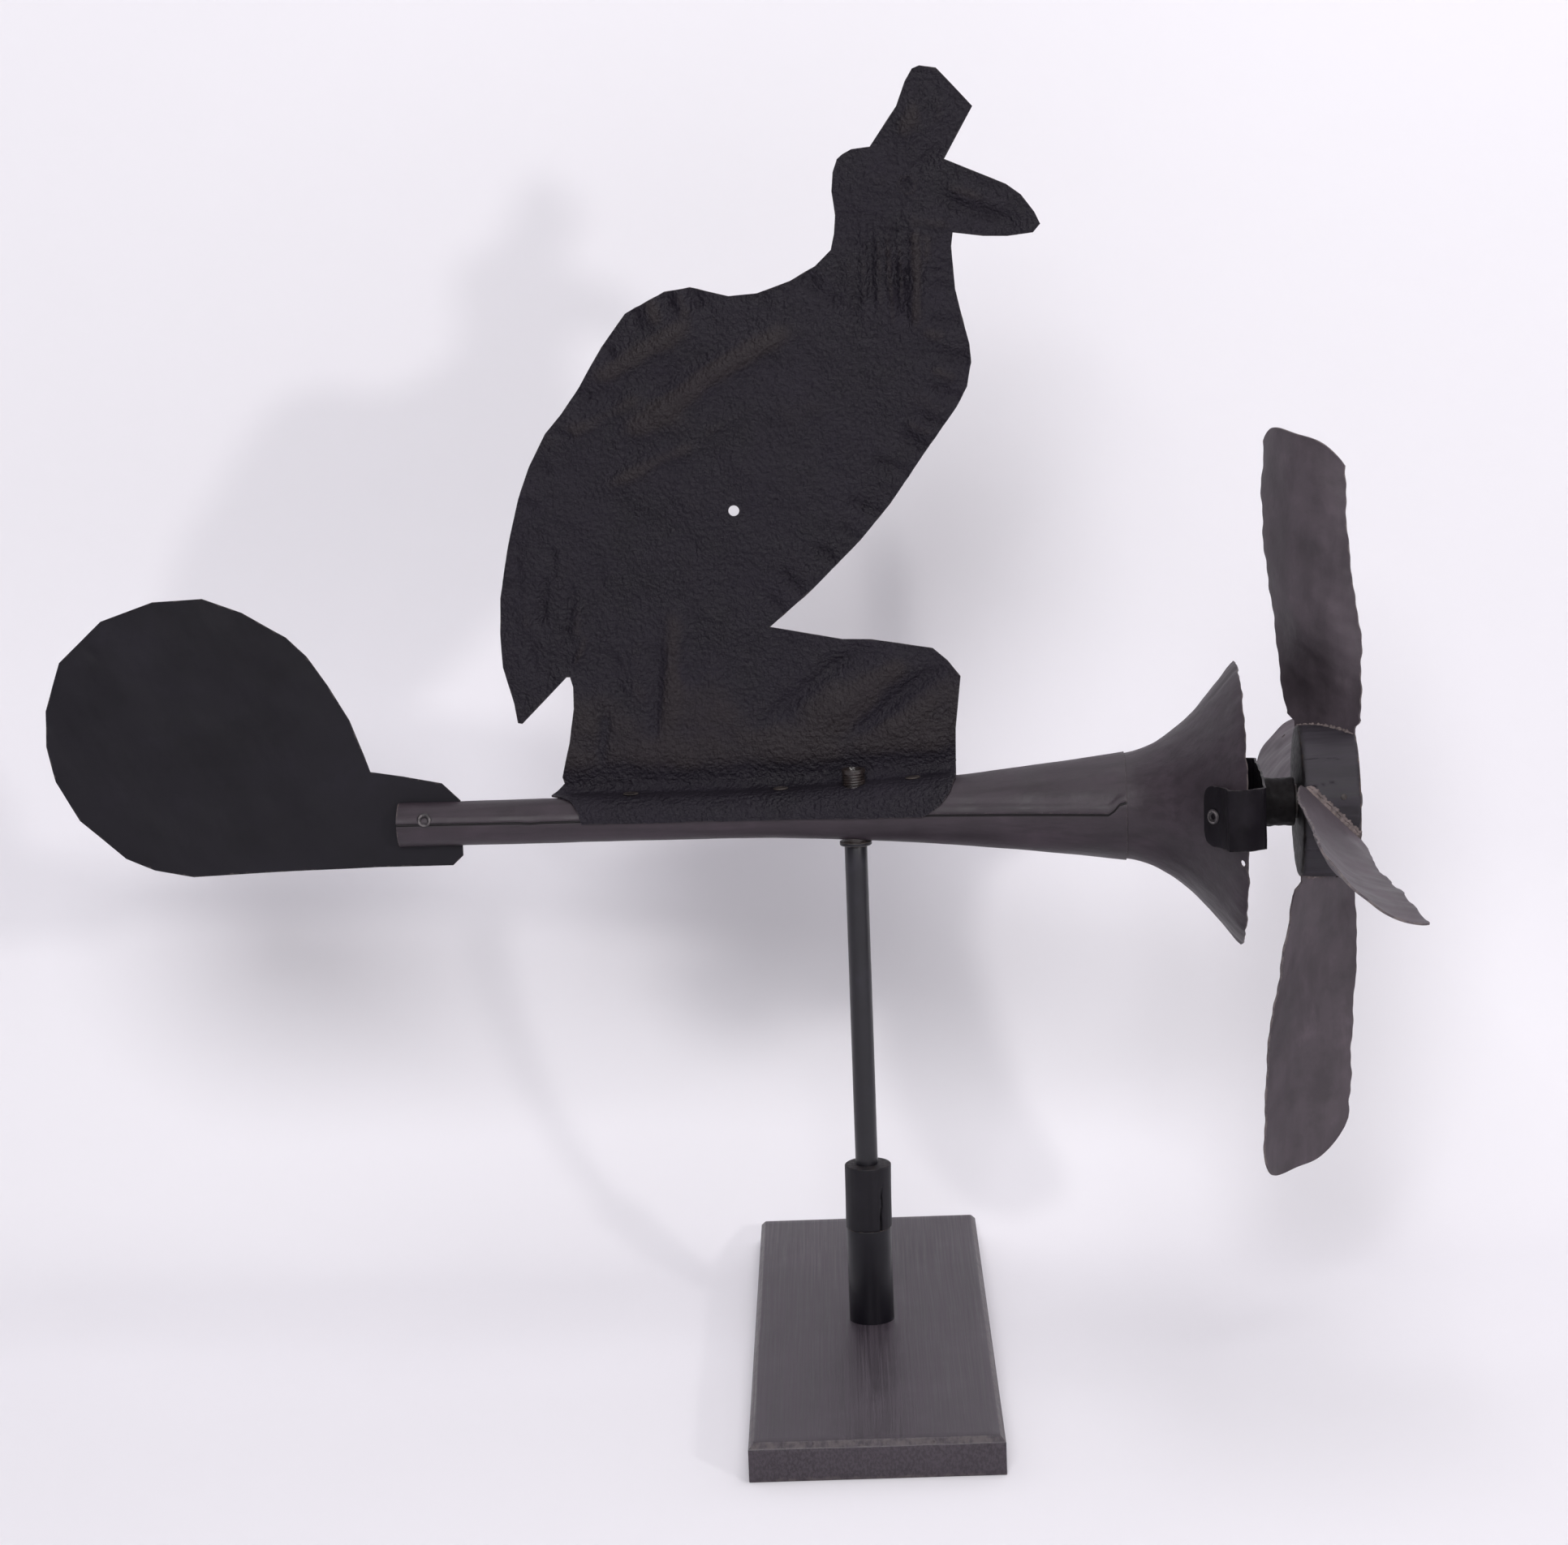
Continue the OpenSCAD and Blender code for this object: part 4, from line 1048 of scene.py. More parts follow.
NECK_STROKES = [
    (2.6, 1.6, (43, 322), (43.5, 290), (41, 262)), (1.5, 1.0, (34, 320), (35, 292), (34.5, 270)),
    (1.5, 1.1, (27.5, 333), (28.5, 298), (30.5, 262)), (1.4, 0.9, (23, 320), (23, 272)),
    (1.8, -1.1, (38, 305), (37, 264)), (1.5, -0.8, (19, 330), (18, 272)), (1.5, 0.8, (15, 335), (14, 272)),
    (1.8, -1.0, (10, 288), (9, 268)), (1.6, 0.9, (7, 306), (5, 282)), (1.4, -0.7, (32, 310), (32.5, 268)),
    (0.9, -0.5, (0, 329), (34, 327)), (0.9, -0.6, (0, 321), (58, 318)), (0.9, -0.5, (2, 314), (56, 311)),
    (0.9, -0.4, (0, 306), (60, 304)), (1.0, -0.5, (48, 297), (63, 298)), (1.1, -0.5, (46, 289), (64, 291)),
    (1.6, 0.9, (50, 318), (49, 300)),
]
HEAD_STROKES = [
    (3.2, -1.6, (56, 336), (74, 329), (92, 323), (104, 319)), (3.2, 1.1, (58, 343), (76, 337), (96, 328)),
    (2.6, 0.9, (38, 326), (52, 323), (64, 321)), (2.8, -1.0, (42, 350), (50, 357), (60, 366)),
    (5.0, 1.0, (36, 368), (50, 392)), (3.5, -0.8, (44, 396), (54, 376)), (4.0, 0.8, (60, 392), (56, 374)),
    (3.0, -0.6, (30, 372), (42, 396)),
]
TAIL_STROKES = [
    (2.2, -1.3, (-167, 140), (-170, 122), (-173, 104)), (2.0, -0.9, (-176, 100), (-178, 82)),
    (2.2, -0.9, (-184, 150), (-183, 130)), (1.8, -0.9, (-163, 154), (-164, 132)),
    (2.0, -1.0, (-153, 130), (-156, 112), (-160, 94)), (3.0, 0.9, (-150, 122), (-152, 98)),
    (1.8, 1.1, (-146, 104), (-151, 92), (-157, 82)), (2.4, -0.8, (-138, 148), (-136, 128)),
    (5.5, 1.5, (-97, 116), (-99, 84), (-103, 46)), (3.0, -1.1, (-106, 96), (-108, 70), (-112, 40)),
    (4.0, -0.7, (-132, 94), (-130, 66)), (3.0, -1.0, (-138, 58), (-142, 28)),
    (4.0, 0.7, (-118, 102), (-120, 60)),
    (3.0, 0.7, (-180, 128), (-180, 104)),
]
LAP_STROKES = [
    (4.0, -1.7, (9, 91), (-8, 82), (-25, 70), (-40, 58), (-56, 47)),
    (7.0, 1.6, (34, 85), (15, 73), (-8, 57), (-26, 45)),
    (3.8, -1.9, (54, 80), (40, 73), (27, 64), (12, 51), (-6, 40)),
    (5.0, 0.9, (50, 64), (34, 52), (18, 42)),
]
BIRD_STROKES = (WING_STROKES + EDGE_STROKES + BREAST_STROKES + NECK_STROKES + HEAD_STROKES + TAIL_STROKES
                + LAP_STROKES)
EYE = (39.5, 344)
BIRD_HOLE = (-61.5, 170, 3.0)
FOOT_LEFT = [(0, -163), (0.24, -169.5), (0.3, -170), (0.4, -166), (0.6, -158), (0.8, -154), (1, -152)]
FOOT_RIGHT = [(0, 57), (0.5, 57), (0.7, 54), (0.8, 51), (0.9, 46), (1, 38)]


def bird_paint():
    # The bird's raised feathers get a painted highlight of lighter brown
    return iron_paint("bird_paint", colours().bird, rough=0.52, light=1.6, patch=26.0, patchiness=0.4,
                      specks=0.2, bare=(0.10, 0.085, 0.08), worn=0.3, pebble=430.0, pebbles=1.4, dents=0.5,
                      depth=0.0016, brown=(0.026, 0.020, 0.019), specular=0.22)


class WHIRLIGIG_OT_bird(bpy.types.Operator):
    """Makes the hatted bird, its feathers pressed into the sheet, and the foot bent over the horn"""

    bl_idname = "whirligig.bird"
    bl_label = "Bird"

    def execute(self, context):
        spacing, sheet = 2.1, sizes().bird_sheet / MM
        middle, bend = 10.0, 6.0
        over = 0.25 + sheet / 2
        foot_x = np.linspace(57, -163, 106)
        foot_z = horn_radius(foot_x) + over + bend
        outline = BIRD_LAP + BIRD_BREAST + BIRD_BEAK + BIRD_HAT + BIRD_NAPE + BIRD_BACK + BIRD_RUMP
        edge = cut_path([(foot_x[0], foot_z[0])] + outline + [(foot_x[-1], foot_z[-1])], spacing)
        foot = np.stack([foot_x, foot_z], axis=1)[::-1]
        x, z, hole_r = BIRD_HOLE
        turn = np.linspace(0, 2 * math.pi, 20, endpoint=False)
        hole = np.stack([x + hole_r * np.cos(turn), z + hole_r * np.sin(turn)], axis=1)
        flat, faces = fill_loops([np.vstack([edge, foot[1:-1]]), hole], spacing)
        relief = stroke_field(flat, BIRD_STROKES)
        from_eye = np.linalg.norm(flat - EYE, axis=1)
        relief += 0.9 * np.exp(-((from_eye - 4.6) / 1.3) ** 2) - 1.3 * np.exp(-(from_eye / 1.9) ** 2)
        spread = np.stack([flat[:, 0], np.zeros(len(flat)), flat[:, 1]], axis=1)
        low = horn_radius(flat[:, 0]) + over + bend
        relief += 1.5 * ease((flat[:, 1] - low - 2) / 13) * ease((low + 70 - flat[:, 1]) / 55)
        relief += 0.28 * ripple(spread, 44, 1.0) + 0.12 * ripple(spread, 17, 2.0)
        relief *= sizes().relief * ease((flat[:, 1] - low) / 6)
        bow = 1.2 * ripple(spread, 300, 0.5) * ease((flat[:, 1] - 60) / 120)
        verts = np.stack([flat[:, 0], middle - relief - bow, flat[:, 1]], axis=1)
        faces = facing_front(verts, faces)

        # The foot: round the bend, forward over the top of the horn and down its front
        us = np.concatenate([np.linspace(0, 0.3, 9), np.linspace(0.34, 0.4, 2), np.linspace(0.43, 1, 20)])
        rows = []
        for u in us:
            left = np.interp(u, *zip(*FOOT_LEFT))
            right = np.interp(u, *zip(*FOOT_RIGHT))
            x = left + (right - left) * np.linspace(0, 1, len(foot_x))
            r = horn_radius(x) + over
            if u <= 0.3:
                q = math.radians(90 * (1 - u / 0.3))
                y, z = middle - bend + bend * math.sin(q) + 0 * x, r + bend - bend * math.cos(q)
            elif u < 0.401:
                y, z = (middle - bend) * (0.4 - u) / 0.1 + 0 * x, r
            else:
                a = math.radians(91 * (u - 0.4) / 0.6)
                y, z = -r * math.sin(a), r * math.cos(a)
            rows.append(np.stack([x, y, z], axis=1))
        foot_verts = np.concatenate(rows)
        wave = 0.12 * ripple(foot_verts, 35, 3.0) * np.repeat(ease(us * 2 - 0.3), len(foot_x))
        foot_verts[:, 2] += np.clip(wave, -0.1, 0.3)
        foot_faces = grid_faces(len(us), len(foot_x))
        # The first row is the bird's own bottom edge
        start = len(verts)
        bottom = [int(np.argmin(np.linalg.norm(flat - p, axis=1))) for p in foot]
        number = {j: bottom[j] for j in range(len(foot_x))}
        number.update({j: start + j - len(foot_x) for j in range(len(foot_x), len(foot_verts))})
        foot_faces = [tuple(number[i] for i in f) for f in foot_faces]
        verts = np.concatenate([verts, foot_verts[len(foot_x):]])
        ring = verts[list(foot_faces[len(foot_x) * 4])]
        if np.cross(ring[1] - ring[0], ring[2] - ring[0])[2] < 0:
            foot_faces = [tuple(reversed(f)) for f in foot_faces]
        hole = [np.hypot(*verts[list(f)].mean(0)[:2]) < 5.4 for f in foot_faces]
        faces = faces + [f for f, h in zip(foot_faces, hole) if not h]
        relief = np.concatenate([relief, np.zeros(len(foot_verts) - len(foot_x))])
        shell = thicken(verts, faces, sheet / 2, sheet / 2)
        make_piece("bird_sheet_pressed", shell, HEAD, bird_paint(), ["bird_sheet_iron"], "head", smooth=45,
                   attributes=[("relief", np.concatenate([relief, relief]))])
        return {"FINISHED"}


def fill_loops(loops, spacing):
    """Evenly sized triangles between an outer loop and the hole loops in it."""
    ring = loops[0]
    lo, hi = ring.min(0), ring.max(0)
    rows = []
    for k, v in enumerate(np.arange(lo[1], hi[1], spacing * math.sqrt(3) / 2)):
        u = np.arange(lo[0] + (spacing / 2 if k % 2 else 0), hi[0], spacing)
        rows.append(np.stack([u, np.full(len(u), v)], axis=1))
    inner = np.concatenate(rows)
    inside = in_loop(inner, ring)
    for loop in loops[1:]:
        inside &= ~in_loop(inner, loop)
    inner = inner[inside]
    edge = np.concatenate(loops)
    far = np.full(len(inner), 1e9)
    for part in np.array_split(edge, max(1, len(edge) // 64)):
        far = np.minimum(far, np.linalg.norm(inner[:, None] - part[None], axis=2).min(1))
    points = np.concatenate([edge, inner[far > spacing * 0.62]])
    edges, start = [], 0
    for loop in loops:
        edges += [(start + i, start + (i + 1) % len(loop)) for i in range(len(loop))]
        start += len(loop)
    cut = geometry.delaunay_2d_cdt([Vector(p) for p in points], edges, [], 1, 1e-6, False)
    flat = np.array([tuple(v) for v in cut[0]])
    faces = [tuple(f) for f in cut[2]]
    middle = np.array([flat[list(f)].mean(0) for f in faces])
    keep = in_loop(middle, ring)
    for loop in loops[1:]:
        keep &= ~in_loop(middle, loop)
    return flat, [f for f, k in zip(faces, keep) if k]


# The tail vane's outline, in straight cuts too
VANE_DISC = [(-271, 30.5), (-274, 40), (-281, 60), (-292, 80), (-303, 97), (-314, 108), (-320, 111.5),
             (-338, 122.5), (-360, 131), (-388, 130), (-418, 120), (-443, 97.5), (-453, 70), (-454, 50),
             (-450, 30), (-438, 7), (-413, -15.5), (-397, -22.5), (-375, -27), (-317, -25), (-269, -24),
             (-227, -24)]
VANE_TONGUE = [(-221, -18.5), (-221, 13), (-231, 23), (-253, 27.5)]
VANE_STROKES = [(14, 0.9, (-440, 40), (-400, 90), (-340, 110)),
                (18, -0.8, (-420, 10), (-360, 30), (-300, 20)),
                (10, 0.7, (-330, 80), (-300, 40)), (2.5, -0.4, (-452, 60), (-438, 62)),
                (2.5, -0.4, (-430, 108), (-420, 98)), (9, -0.6, (-380, 110), (-390, 60))]


class WHIRLIGIG_OT_tail_vane(bpy.types.Operator):
    """Makes the round tail vane, a little dented, whose tongue sits in the horn's slit"""

    bl_idname = "whirligig.tail_vane"
    bl_label = "Tail Vane"

    def execute(self, context):
        outline = VANE_DISC + VANE_TONGUE
        edge = cut_path(outline + outline[:1], 2.6)[:-1]
        flat, faces = fill_loops([edge], 2.6)
        spread = np.stack([flat[:, 0], np.zeros(len(flat)), flat[:, 1]], axis=1)
        free = ease((-266 - flat[:, 0]) / 40)
        relief = (stroke_field(flat, VANE_STROKES) + 0.35 * ripple(spread, 70, 2.0)
                  + 0.1 * ripple(spread, 21, 5.0)) * free
        verts = np.stack([flat[:, 0], -relief, flat[:, 1]], axis=1)
        half = sizes().vane_sheet / MM / 2
        paint = iron_paint("vane_paint", colours().vane, rough=0.55, specular=0.22, light=2.0, patch=22.0,
                           patchiness=0.4,
                           specks=0.12, bare=(0.15, 0.13, 0.12), worn=0.4, pebble=300.0, pebbles=0.35,
                           dents=0.5, depth=0.00025)
        shell = thicken(verts, facing_front(verts, faces), half, half)
        make_piece("tail_vane_cut", shell, HEAD, paint, ["tail_vane"], "head", smooth=40)
        return {"FINISHED"}


# ---------------------------------------------------------------- axle and propeller

def hex_nut(x0, x1, across):
    """A hexagonal nut about the x axis with chamfered corners, as (verts, faces, wear)."""
    columns = 72
    turn = np.linspace(0, 2 * math.pi, columns, endpoint=False)
    part = (turn + math.pi / 6) % (math.pi / 3) - math.pi / 6
    flat_r = across * math.cos(math.pi / 6) / np.cos(part)
    bore = 3.0
    rings = []
    for x, cap in ((x0, across * 0.93), (x0 + 0.5, across * 1.01), (x1 - 0.5, across * 1.01),
                   (x1, across * 0.93)):
        r = np.minimum(flat_r, cap)
        rings.append(np.stack([np.full(columns, x), r * np.cos(turn), r * np.sin(turn)], axis=1))
    for x, r in ((x1, bore + 0.5), (x1 - 0.5, bore), (x0, bore)):
        rings.append(np.stack([np.full(columns, x), r * np.cos(turn), r * np.sin(turn)], axis=1))
    verts = np.concatenate(rings)
    faces = grid_faces(len(rings), columns, wrap=True)
    last = (len(rings) - 1) * columns
    faces += [(last + j, last + (j + 1) % columns, (j + 1) % columns, j) for j in range(columns)]
    wear = np.repeat([0.8, 0.9, 0.9, 0.8, 0.5, 0, 0], columns)
    return verts, faces, wear.astype(float)


def ring_disc(x0, x1, outer, hole, soft=0.25, columns=72):
    """A washer about the x axis, as (verts, faces, wear)."""
    profile = [(x0, hole), (x0, outer - soft), (x0 + soft, outer), (x1 - soft, outer), (x1, outer - soft),
               (x1, hole)]
    verts, faces = turned(profile, columns, closed=True)
    return verts, faces, np.repeat([0, 0.7, 0.9, 0.9, 0.7, 0], columns).astype(float)


class WHIRLIGIG_OT_axle(bpy.types.Operator):
    """Makes the axle bolt with its thread, the wooden spool, the washers and the nut"""

    bl_idname = "whirligig.axle"
    bl_label = "Axle, Spool and Nut"

    def execute(self, context):
        start, end = BOLT[0][0], BOLT[1][0]
        radius, pitch = 3.175, 1.27
        cols = 48
        turn = np.linspace(0, 2 * math.pi, cols, endpoint=False)
        seat = end - 3.6
        xs = np.concatenate([[start], np.arange(start + 0.2, start + 16, 0.21), [seat - 20, seat]])
        x, a = np.meshgrid(xs, turn, indexing="ij")
        phase = (x / pitch - a / (2 * math.pi)) % 1
        cut = 0.5 * (1 - np.abs(2 * phase - 1)) * ease((start + 15 - x) / 2)
        r = radius - cut - 0.6 * ease((start + 0.8 - x) / 0.8)
        shank = np.stack([x, r * np.cos(a), r * np.sin(a)], axis=-1).reshape(-1, 3)
        head = [(seat, 6.6), (seat + 0.3, 6.8), (seat + 1.4, 6.6), (seat + 2.5, 5.5), (seat + 3.3, 3.2),
                (end, 0.01)]
        head_verts = np.concatenate([np.stack([np.full(cols, hx), hr * np.cos(turn), hr * np.sin(turn)],
                                              axis=1)
                                     for hx, hr in head])
        tip = np.stack([np.full(cols, start), 0.01 * np.cos(turn), 0.01 * np.sin(turn)], axis=1)
        verts = np.concatenate([tip, shank, head_verts])
        faces = grid_faces(len(head) + len(xs) + 1, cols, wrap=True)
        wear = np.concatenate([np.zeros(cols), (cut < 0.06).ravel() * 0.4,
                               np.repeat([0.5, 0.9, 0.7, 0.5, 0.6, 0.8], cols)])
        make_piece("axle_bolt_threaded", (verts, faces, wear), HEAD, bolt_material(), ["axle_bolt"], "head",
                   smooth=50)

        for node in ("rear_washer", "front_washer"):
            lo, hi = reach(node)
            make_piece(node + "_steel", ring_disc(lo[0], hi[0], hi[2], 3.2), HEAD, bolt_material(), [node],
                       "head")
        lo, hi = reach("axle_nut")
        make_piece("axle_nut_hex", hex_nut(lo[0], hi[0], hi[2]), HEAD, bolt_material(), ["axle_nut"], "head",
                   smooth=30)

        lo, hi = SPOOL
        width, full = hi[0] - lo[0], hi[2]
        profile = [(lo[0], 3.3), (lo[0], full - 0.9), (lo[0] + 0.25, full - 0.3)]
        profile += [(lo[0] + width * t, full - 0.15 - 0.45 * math.sin(math.pi * t)) for t in np.linspace(0.05,
                                                                                                         0.95,
                                                                                                         24)]
        profile += [(hi[0] - 0.25, full - 0.4), (hi[0], full - 0.9), (hi[0], 3.3)]
        verts, faces = turned(profile, 120, closed=True)
        rough = 0.12 * ripple(verts, 9, 3.0) + 0.1 * ripple(verts * (4, 1, 1), 13, 1.0)
        verts[:, 1:] *= (1 + rough / full)[:, None]
        wear = np.repeat([0, 0.8, 0.9] + [0.15] * 24 + [0.9, 0.8, 0], 120)
        wood = old_wood("spool_wood", colours().spool, (260.0, 260.0, 260.0), (0.035, 0.026, 0.022),
                        rough=0.6,
                        specular=0.15, worn=0.3, scuffs=0.1, depth=0.0004)
        make_piece("spool_worn", (verts, faces, wear), HEAD, wood, ["spool_spacer"], "head", smooth=45)
        return {"FINISHED"}


# Each blade was bent by hand. From hub to tip: its lean along the axle, its bend across it, its pitch angle,
# and its half chord as a part of the usual one; then how its tip's middle, corners and slant differ.
BLADES = {
    "top": (0, (0, -5, -11, -13.5, -13), (0, 0, 0, 0, 0), (45, 46, 48, 49, 49), (0.81, 0.97, 1, 1, 0.97),
            (-2, 12, -5.5)),
    "near": (90, (0, -3, -2.5, -1, 1.5), (0, -6, -8, -8.5, -8), (45, 43, 40, 38, 38),
             (0.81, 0.9, 0.94, 0.97, 1.1), (0, 10, 6)),
    "bottom": (180, (0, -7, -12, -15, -17), (0, 0, 0, 0, 0), (45, 43, 39, 38, 38),
               (0.81, 0.97, 1.03, 1.03, 1),
               (6, 22, -4)),
    "far": (270, (0, -2, -4, -6, -7), (0, 0, 0, 0, 0), (45, 45, 45, 45, 45), (0.81, 0.97, 1, 1, 0.97),
            (0, 15, -4)),
}


def about_axle(verts, degrees):
    """Turns points about the horn's axis; 0 keeps a blade pointing up."""
    a = math.radians(degrees)
    v = np.asarray(verts, float)
    return np.stack([v[:, 0], v[:, 1] * math.cos(a) - v[:, 2] * math.sin(a),
                     v[:, 1] * math.sin(a) + v[:, 2] * math.cos(a)], axis=1)


class WHIRLIGIG_OT_hub(bpy.types.Operator):
    """Makes the wooden hub with its worn rims and the ridges of filler along the blades"""

    bl_idname = "whirligig.hub"
    bl_label = "Hub"

    def execute(self, context):
        radius = sizes().hub_radius / MM
        x0, x1 = HUB_MID - 15.5, HUB_MID + 15.5
        soft = 1.3
        cols = 288
        profile = [(x0, 3.2), (x0, 12), (x0, 24), (x0, 34), (x0, radius - soft), (x0 + 0.35, radius - 0.5)]
        profile += [(x, radius) for x in np.linspace(x0 + soft, x1 - soft, 22)]
        profile += [(x1 - 0.35, radius - 0.5), (x1, radius - soft), (x1, 34), (x1, 24), (x1, 12), (x1, 3.2)]
        verts, faces = turned(profile, cols, closed=True)
        level = np.repeat(np.arange(len(profile)), cols)
        rim = np.isin(level, [4, 5, 28, 29])
        nick = np.clip(ripple(verts, 14, 2.0) - 0.5, 0, None) * 0.8
        shrink = np.where(rim, nick, 0) + 0.12 * ripple(verts * (0.2, 1, 1), 16, 4.0)
        # Shrinkage cracks that run along the axle on the rim
        angle = np.arctan2(verts[:, 2], verts[:, 1])
        side = level > 4
        side &= level < 29
        for at, long, deep in ((-1.48, 0.85, 1.0), (-1.7, 0.6, 0.8), (2.75, 0.7, 0.9), (-2.65, 0.8, 0.8),
                               (1.2, 0.75, 0.9), (0.35, 0.6, 0.7)):
            along = (verts[:, 0] - x0) / (x1 - x0)
            off = np.abs(angle - at - 0.02 * np.sin(along * 9)) * radius
            shrink += np.where(side, np.clip(1 - off / 0.5, 0, 1) * deep * ease((long - along) / 0.2), 0)
        verts[:, 1:] *= (1 - shrink / radius)[:, None]
        wear = np.where(rim, 1.0, 0.0) + np.where(np.isin(level, [6, 27]), 0.6, 0)
        wood = old_wood("hub_paint", colours().hub, (14.0, 260.0, 260.0), colours().bare_wood, rough=0.55,
                        specular=0.3, worn=0.8, scuffs=0.25, depth=0.0003)
        ridges = [self.filler(name, BLADES[name][0], radius) for name in BLADES]
        # Painted shade: the rear face, which looks towards the bell, and the side next to it are darkened
        painted_shade = np.where(level < 5, 1.0, 0) + 0.7 * ease((x0 + 5 - verts[:, 0]) / 5) * side
        make_piece("hub_wood_turned", (verts, faces, np.clip(wear, 0, 1)), HEAD, wood, ["hub"], "propeller",
                   smooth=40, attributes=[("painted_shade", np.clip(painted_shade, 0, 1))])
        crust = old_wood("kerf_filler", colours().filler, (160.0, 160.0, 160.0), (0.2, 0.15, 0.12), rough=0.7,
                         worn=0.3, scuffs=0.35, depth=0.0006)
        ridge = join(*ridges)
        piece = make_piece("kerf_filler_ridges", ridge, HEAD, crust, ["hub"], "propeller", smooth=60)
        return {"FINISHED"}

    def filler(self, name, turn, radius):
        """An uneven bead along both sides of a blade where it enters the hub."""
        shells = []
        for side in (-1, 1):
            run = np.linspace(-20.5, 20.5, 70)
            full = 3.4 if (name, side) == ("near", 1) else 1.1
            rows = []
            for s in run:
                wide = (full + 0.4 * math.sin(s * 1.3 + turn) + 0.3 * math.sin(s * 2.9 + side)) * min(
                    1, (21 - abs(s)) / 3)
                high = min(wide, 1.6) * (0.8 + 0.2 * math.sin(s * 2.1 + 2 * side))
                # The crack that has opened along the middle of the bead
                split = 0.5 * high * (full > 2) * (0.6 + 0.4 * math.sin(s * 0.9))
                for across, up in ((0.2, -0.8), (0.45, high), (0.6 + 0.4 * wide, 0.9 * high),
                                   (0.6 + 0.5 * wide, 0.8 * high - split), (0.6 + 0.58 * wide, 0.75 * high),
                                   (0.6 + wide, 0.1), (0.7 + wide, -0.8)):
                    across = across * side
                    x = HUB_MID + (s + across) * math.sqrt(0.5)
                    y = (across - s) * math.sqrt(0.5)
                    rows.append((x, y, math.sqrt(radius ** 2 - y ** 2) + up))
            verts = np.array(rows)
            faces = grid_faces(len(run), 7, wrap=True)
            faces += [tuple(range(7)), tuple(reversed(range(len(verts) - 7, len(verts))))]
            if side > 0:
                faces = [tuple(reversed(f)) for f in faces]
            shells.append((about_axle(verts, turn), faces, np.tile([0, 1.0, 0.6, 0, 0.6, 0.2, 0], len(run))))
        return join(*shells)


class WHIRLIGIG_OT_blades(bpy.types.Operator):
    """Makes the four cupped blades and the nails that hold them"""

    bl_idname = "whirligig.blades"
    bl_label = "Blades"

    def execute(self, context):
        made = sizes()
        radius, tip = made.hub_radius / MM, made.blade_reach / MM
        half, cup = made.blade_half / MM, made.blade_cup / MM
        iron = iron_paint("blade_iron", colours().blade, rough=0.55, light=1.7, patch=30.0, patchiness=0.6,
                          specks=0.2, bare=(0.2, 0.17, 0.16), worn=0.5, pebble=260.0, pebbles=0.5, dents=0.8,
                          depth=0.0003, strokes=(70.0, 16.0, 16.0))
        rows, cols = 96, 33
        for k, (name, (turn, *lists)) in enumerate(BLADES.items()):
            lean, bend, pitch, wide, ends = lists
            v = np.tile(np.linspace(-1, 1, cols), rows)
            t = np.repeat(np.linspace(0, 1, rows), cols)
            root = 28.5
            end = tip + ends[0] - ends[1] * np.abs(v) ** 4 + ends[2] * v
            r = root + (end - root) * t ** 0.95
            s = np.maximum(0, r - radius - 1) / (tip - radius - 1)
            full = self.along(wide, s) * half
            chord = 21 + (full - 21) * np.clip((r - 43) / 3, 0, 1)
            ragged = 0.35 * np.sin(r * 0.23 + k) + 0.25 * np.sin(r * 0.61 + 2 * k)
            c = v * chord + ragged * np.sign(v) * np.abs(v) ** 6 * (r > 48)
            w = cup * ease((r - radius - 4) / 60) * (v * v - 0.4)
            flat = np.stack([r, c, np.zeros(len(r))], axis=1)
            dents = 0.6 * ripple(flat, 67, 1.3 * k) + 0.3 * ripple(flat, 24, 2.1 * k + 1)
            w = w + dents * ease((r - 48) / 20)
            a = np.radians(self.along(pitch, s))
            verts = np.stack([HUB_MID + c * np.cos(a) + w * np.sin(a) + self.along(lean, s),
                              w * np.cos(a) - c * np.sin(a) + self.along(bend, s), r], axis=1)
            faces = grid_faces(rows, cols)
            if name == "far":
                spot = int(np.argmin(np.abs(r - 181) + np.abs(v - 0.15) * 40))
                verts, faces = punch(verts, faces, verts[spot], 1.6)
            thick = made.blade_sheet / MM / 2
            shell = thicken(about_axle(verts, turn), faces, thick, thick)
            make_piece(f"blade_{name}_cupped", shell, HEAD, iron, [f"blade_{name}"], "propeller", smooth=40)

        nails = []
        for turn in (blade[0] for blade in BLADES.values()):
            verts, faces = turned([(-0.4, 0.01), (-0.4, 1.1), (0, 1.6), (0.35, 1.6), (0.6, 1.0),
                                   (0.65, 0.01)], 24)
            wear = np.repeat([0, 0, 0.6, 1, 0.7, 0], 24).astype(float)
            nail = placed((upright(verts), faces, wear),
                          (HUB_MID + 6, 9.5, math.sqrt(radius ** 2 - 9.5 ** 2) + 0.1), (0.2, 0.25, 1))
            nails.append((about_axle(nail[0], turn), nail[1], nail[2]))
        make_piece("blade_nails_driven", join(*nails), HEAD, bolt_material(), ["blade_nails"], "propeller",
                   smooth=50)
        return {"FINISHED"}

    def along(self, values, s):
        """Smooth value at a part of the way from hub to tip."""
        path = smooth_path([(k / 4, value) for k, value in enumerate(values)], 8)
        return np.interp(s, path[:, 0], path[:, 1])


# ---------------------------------------------------------------- stage

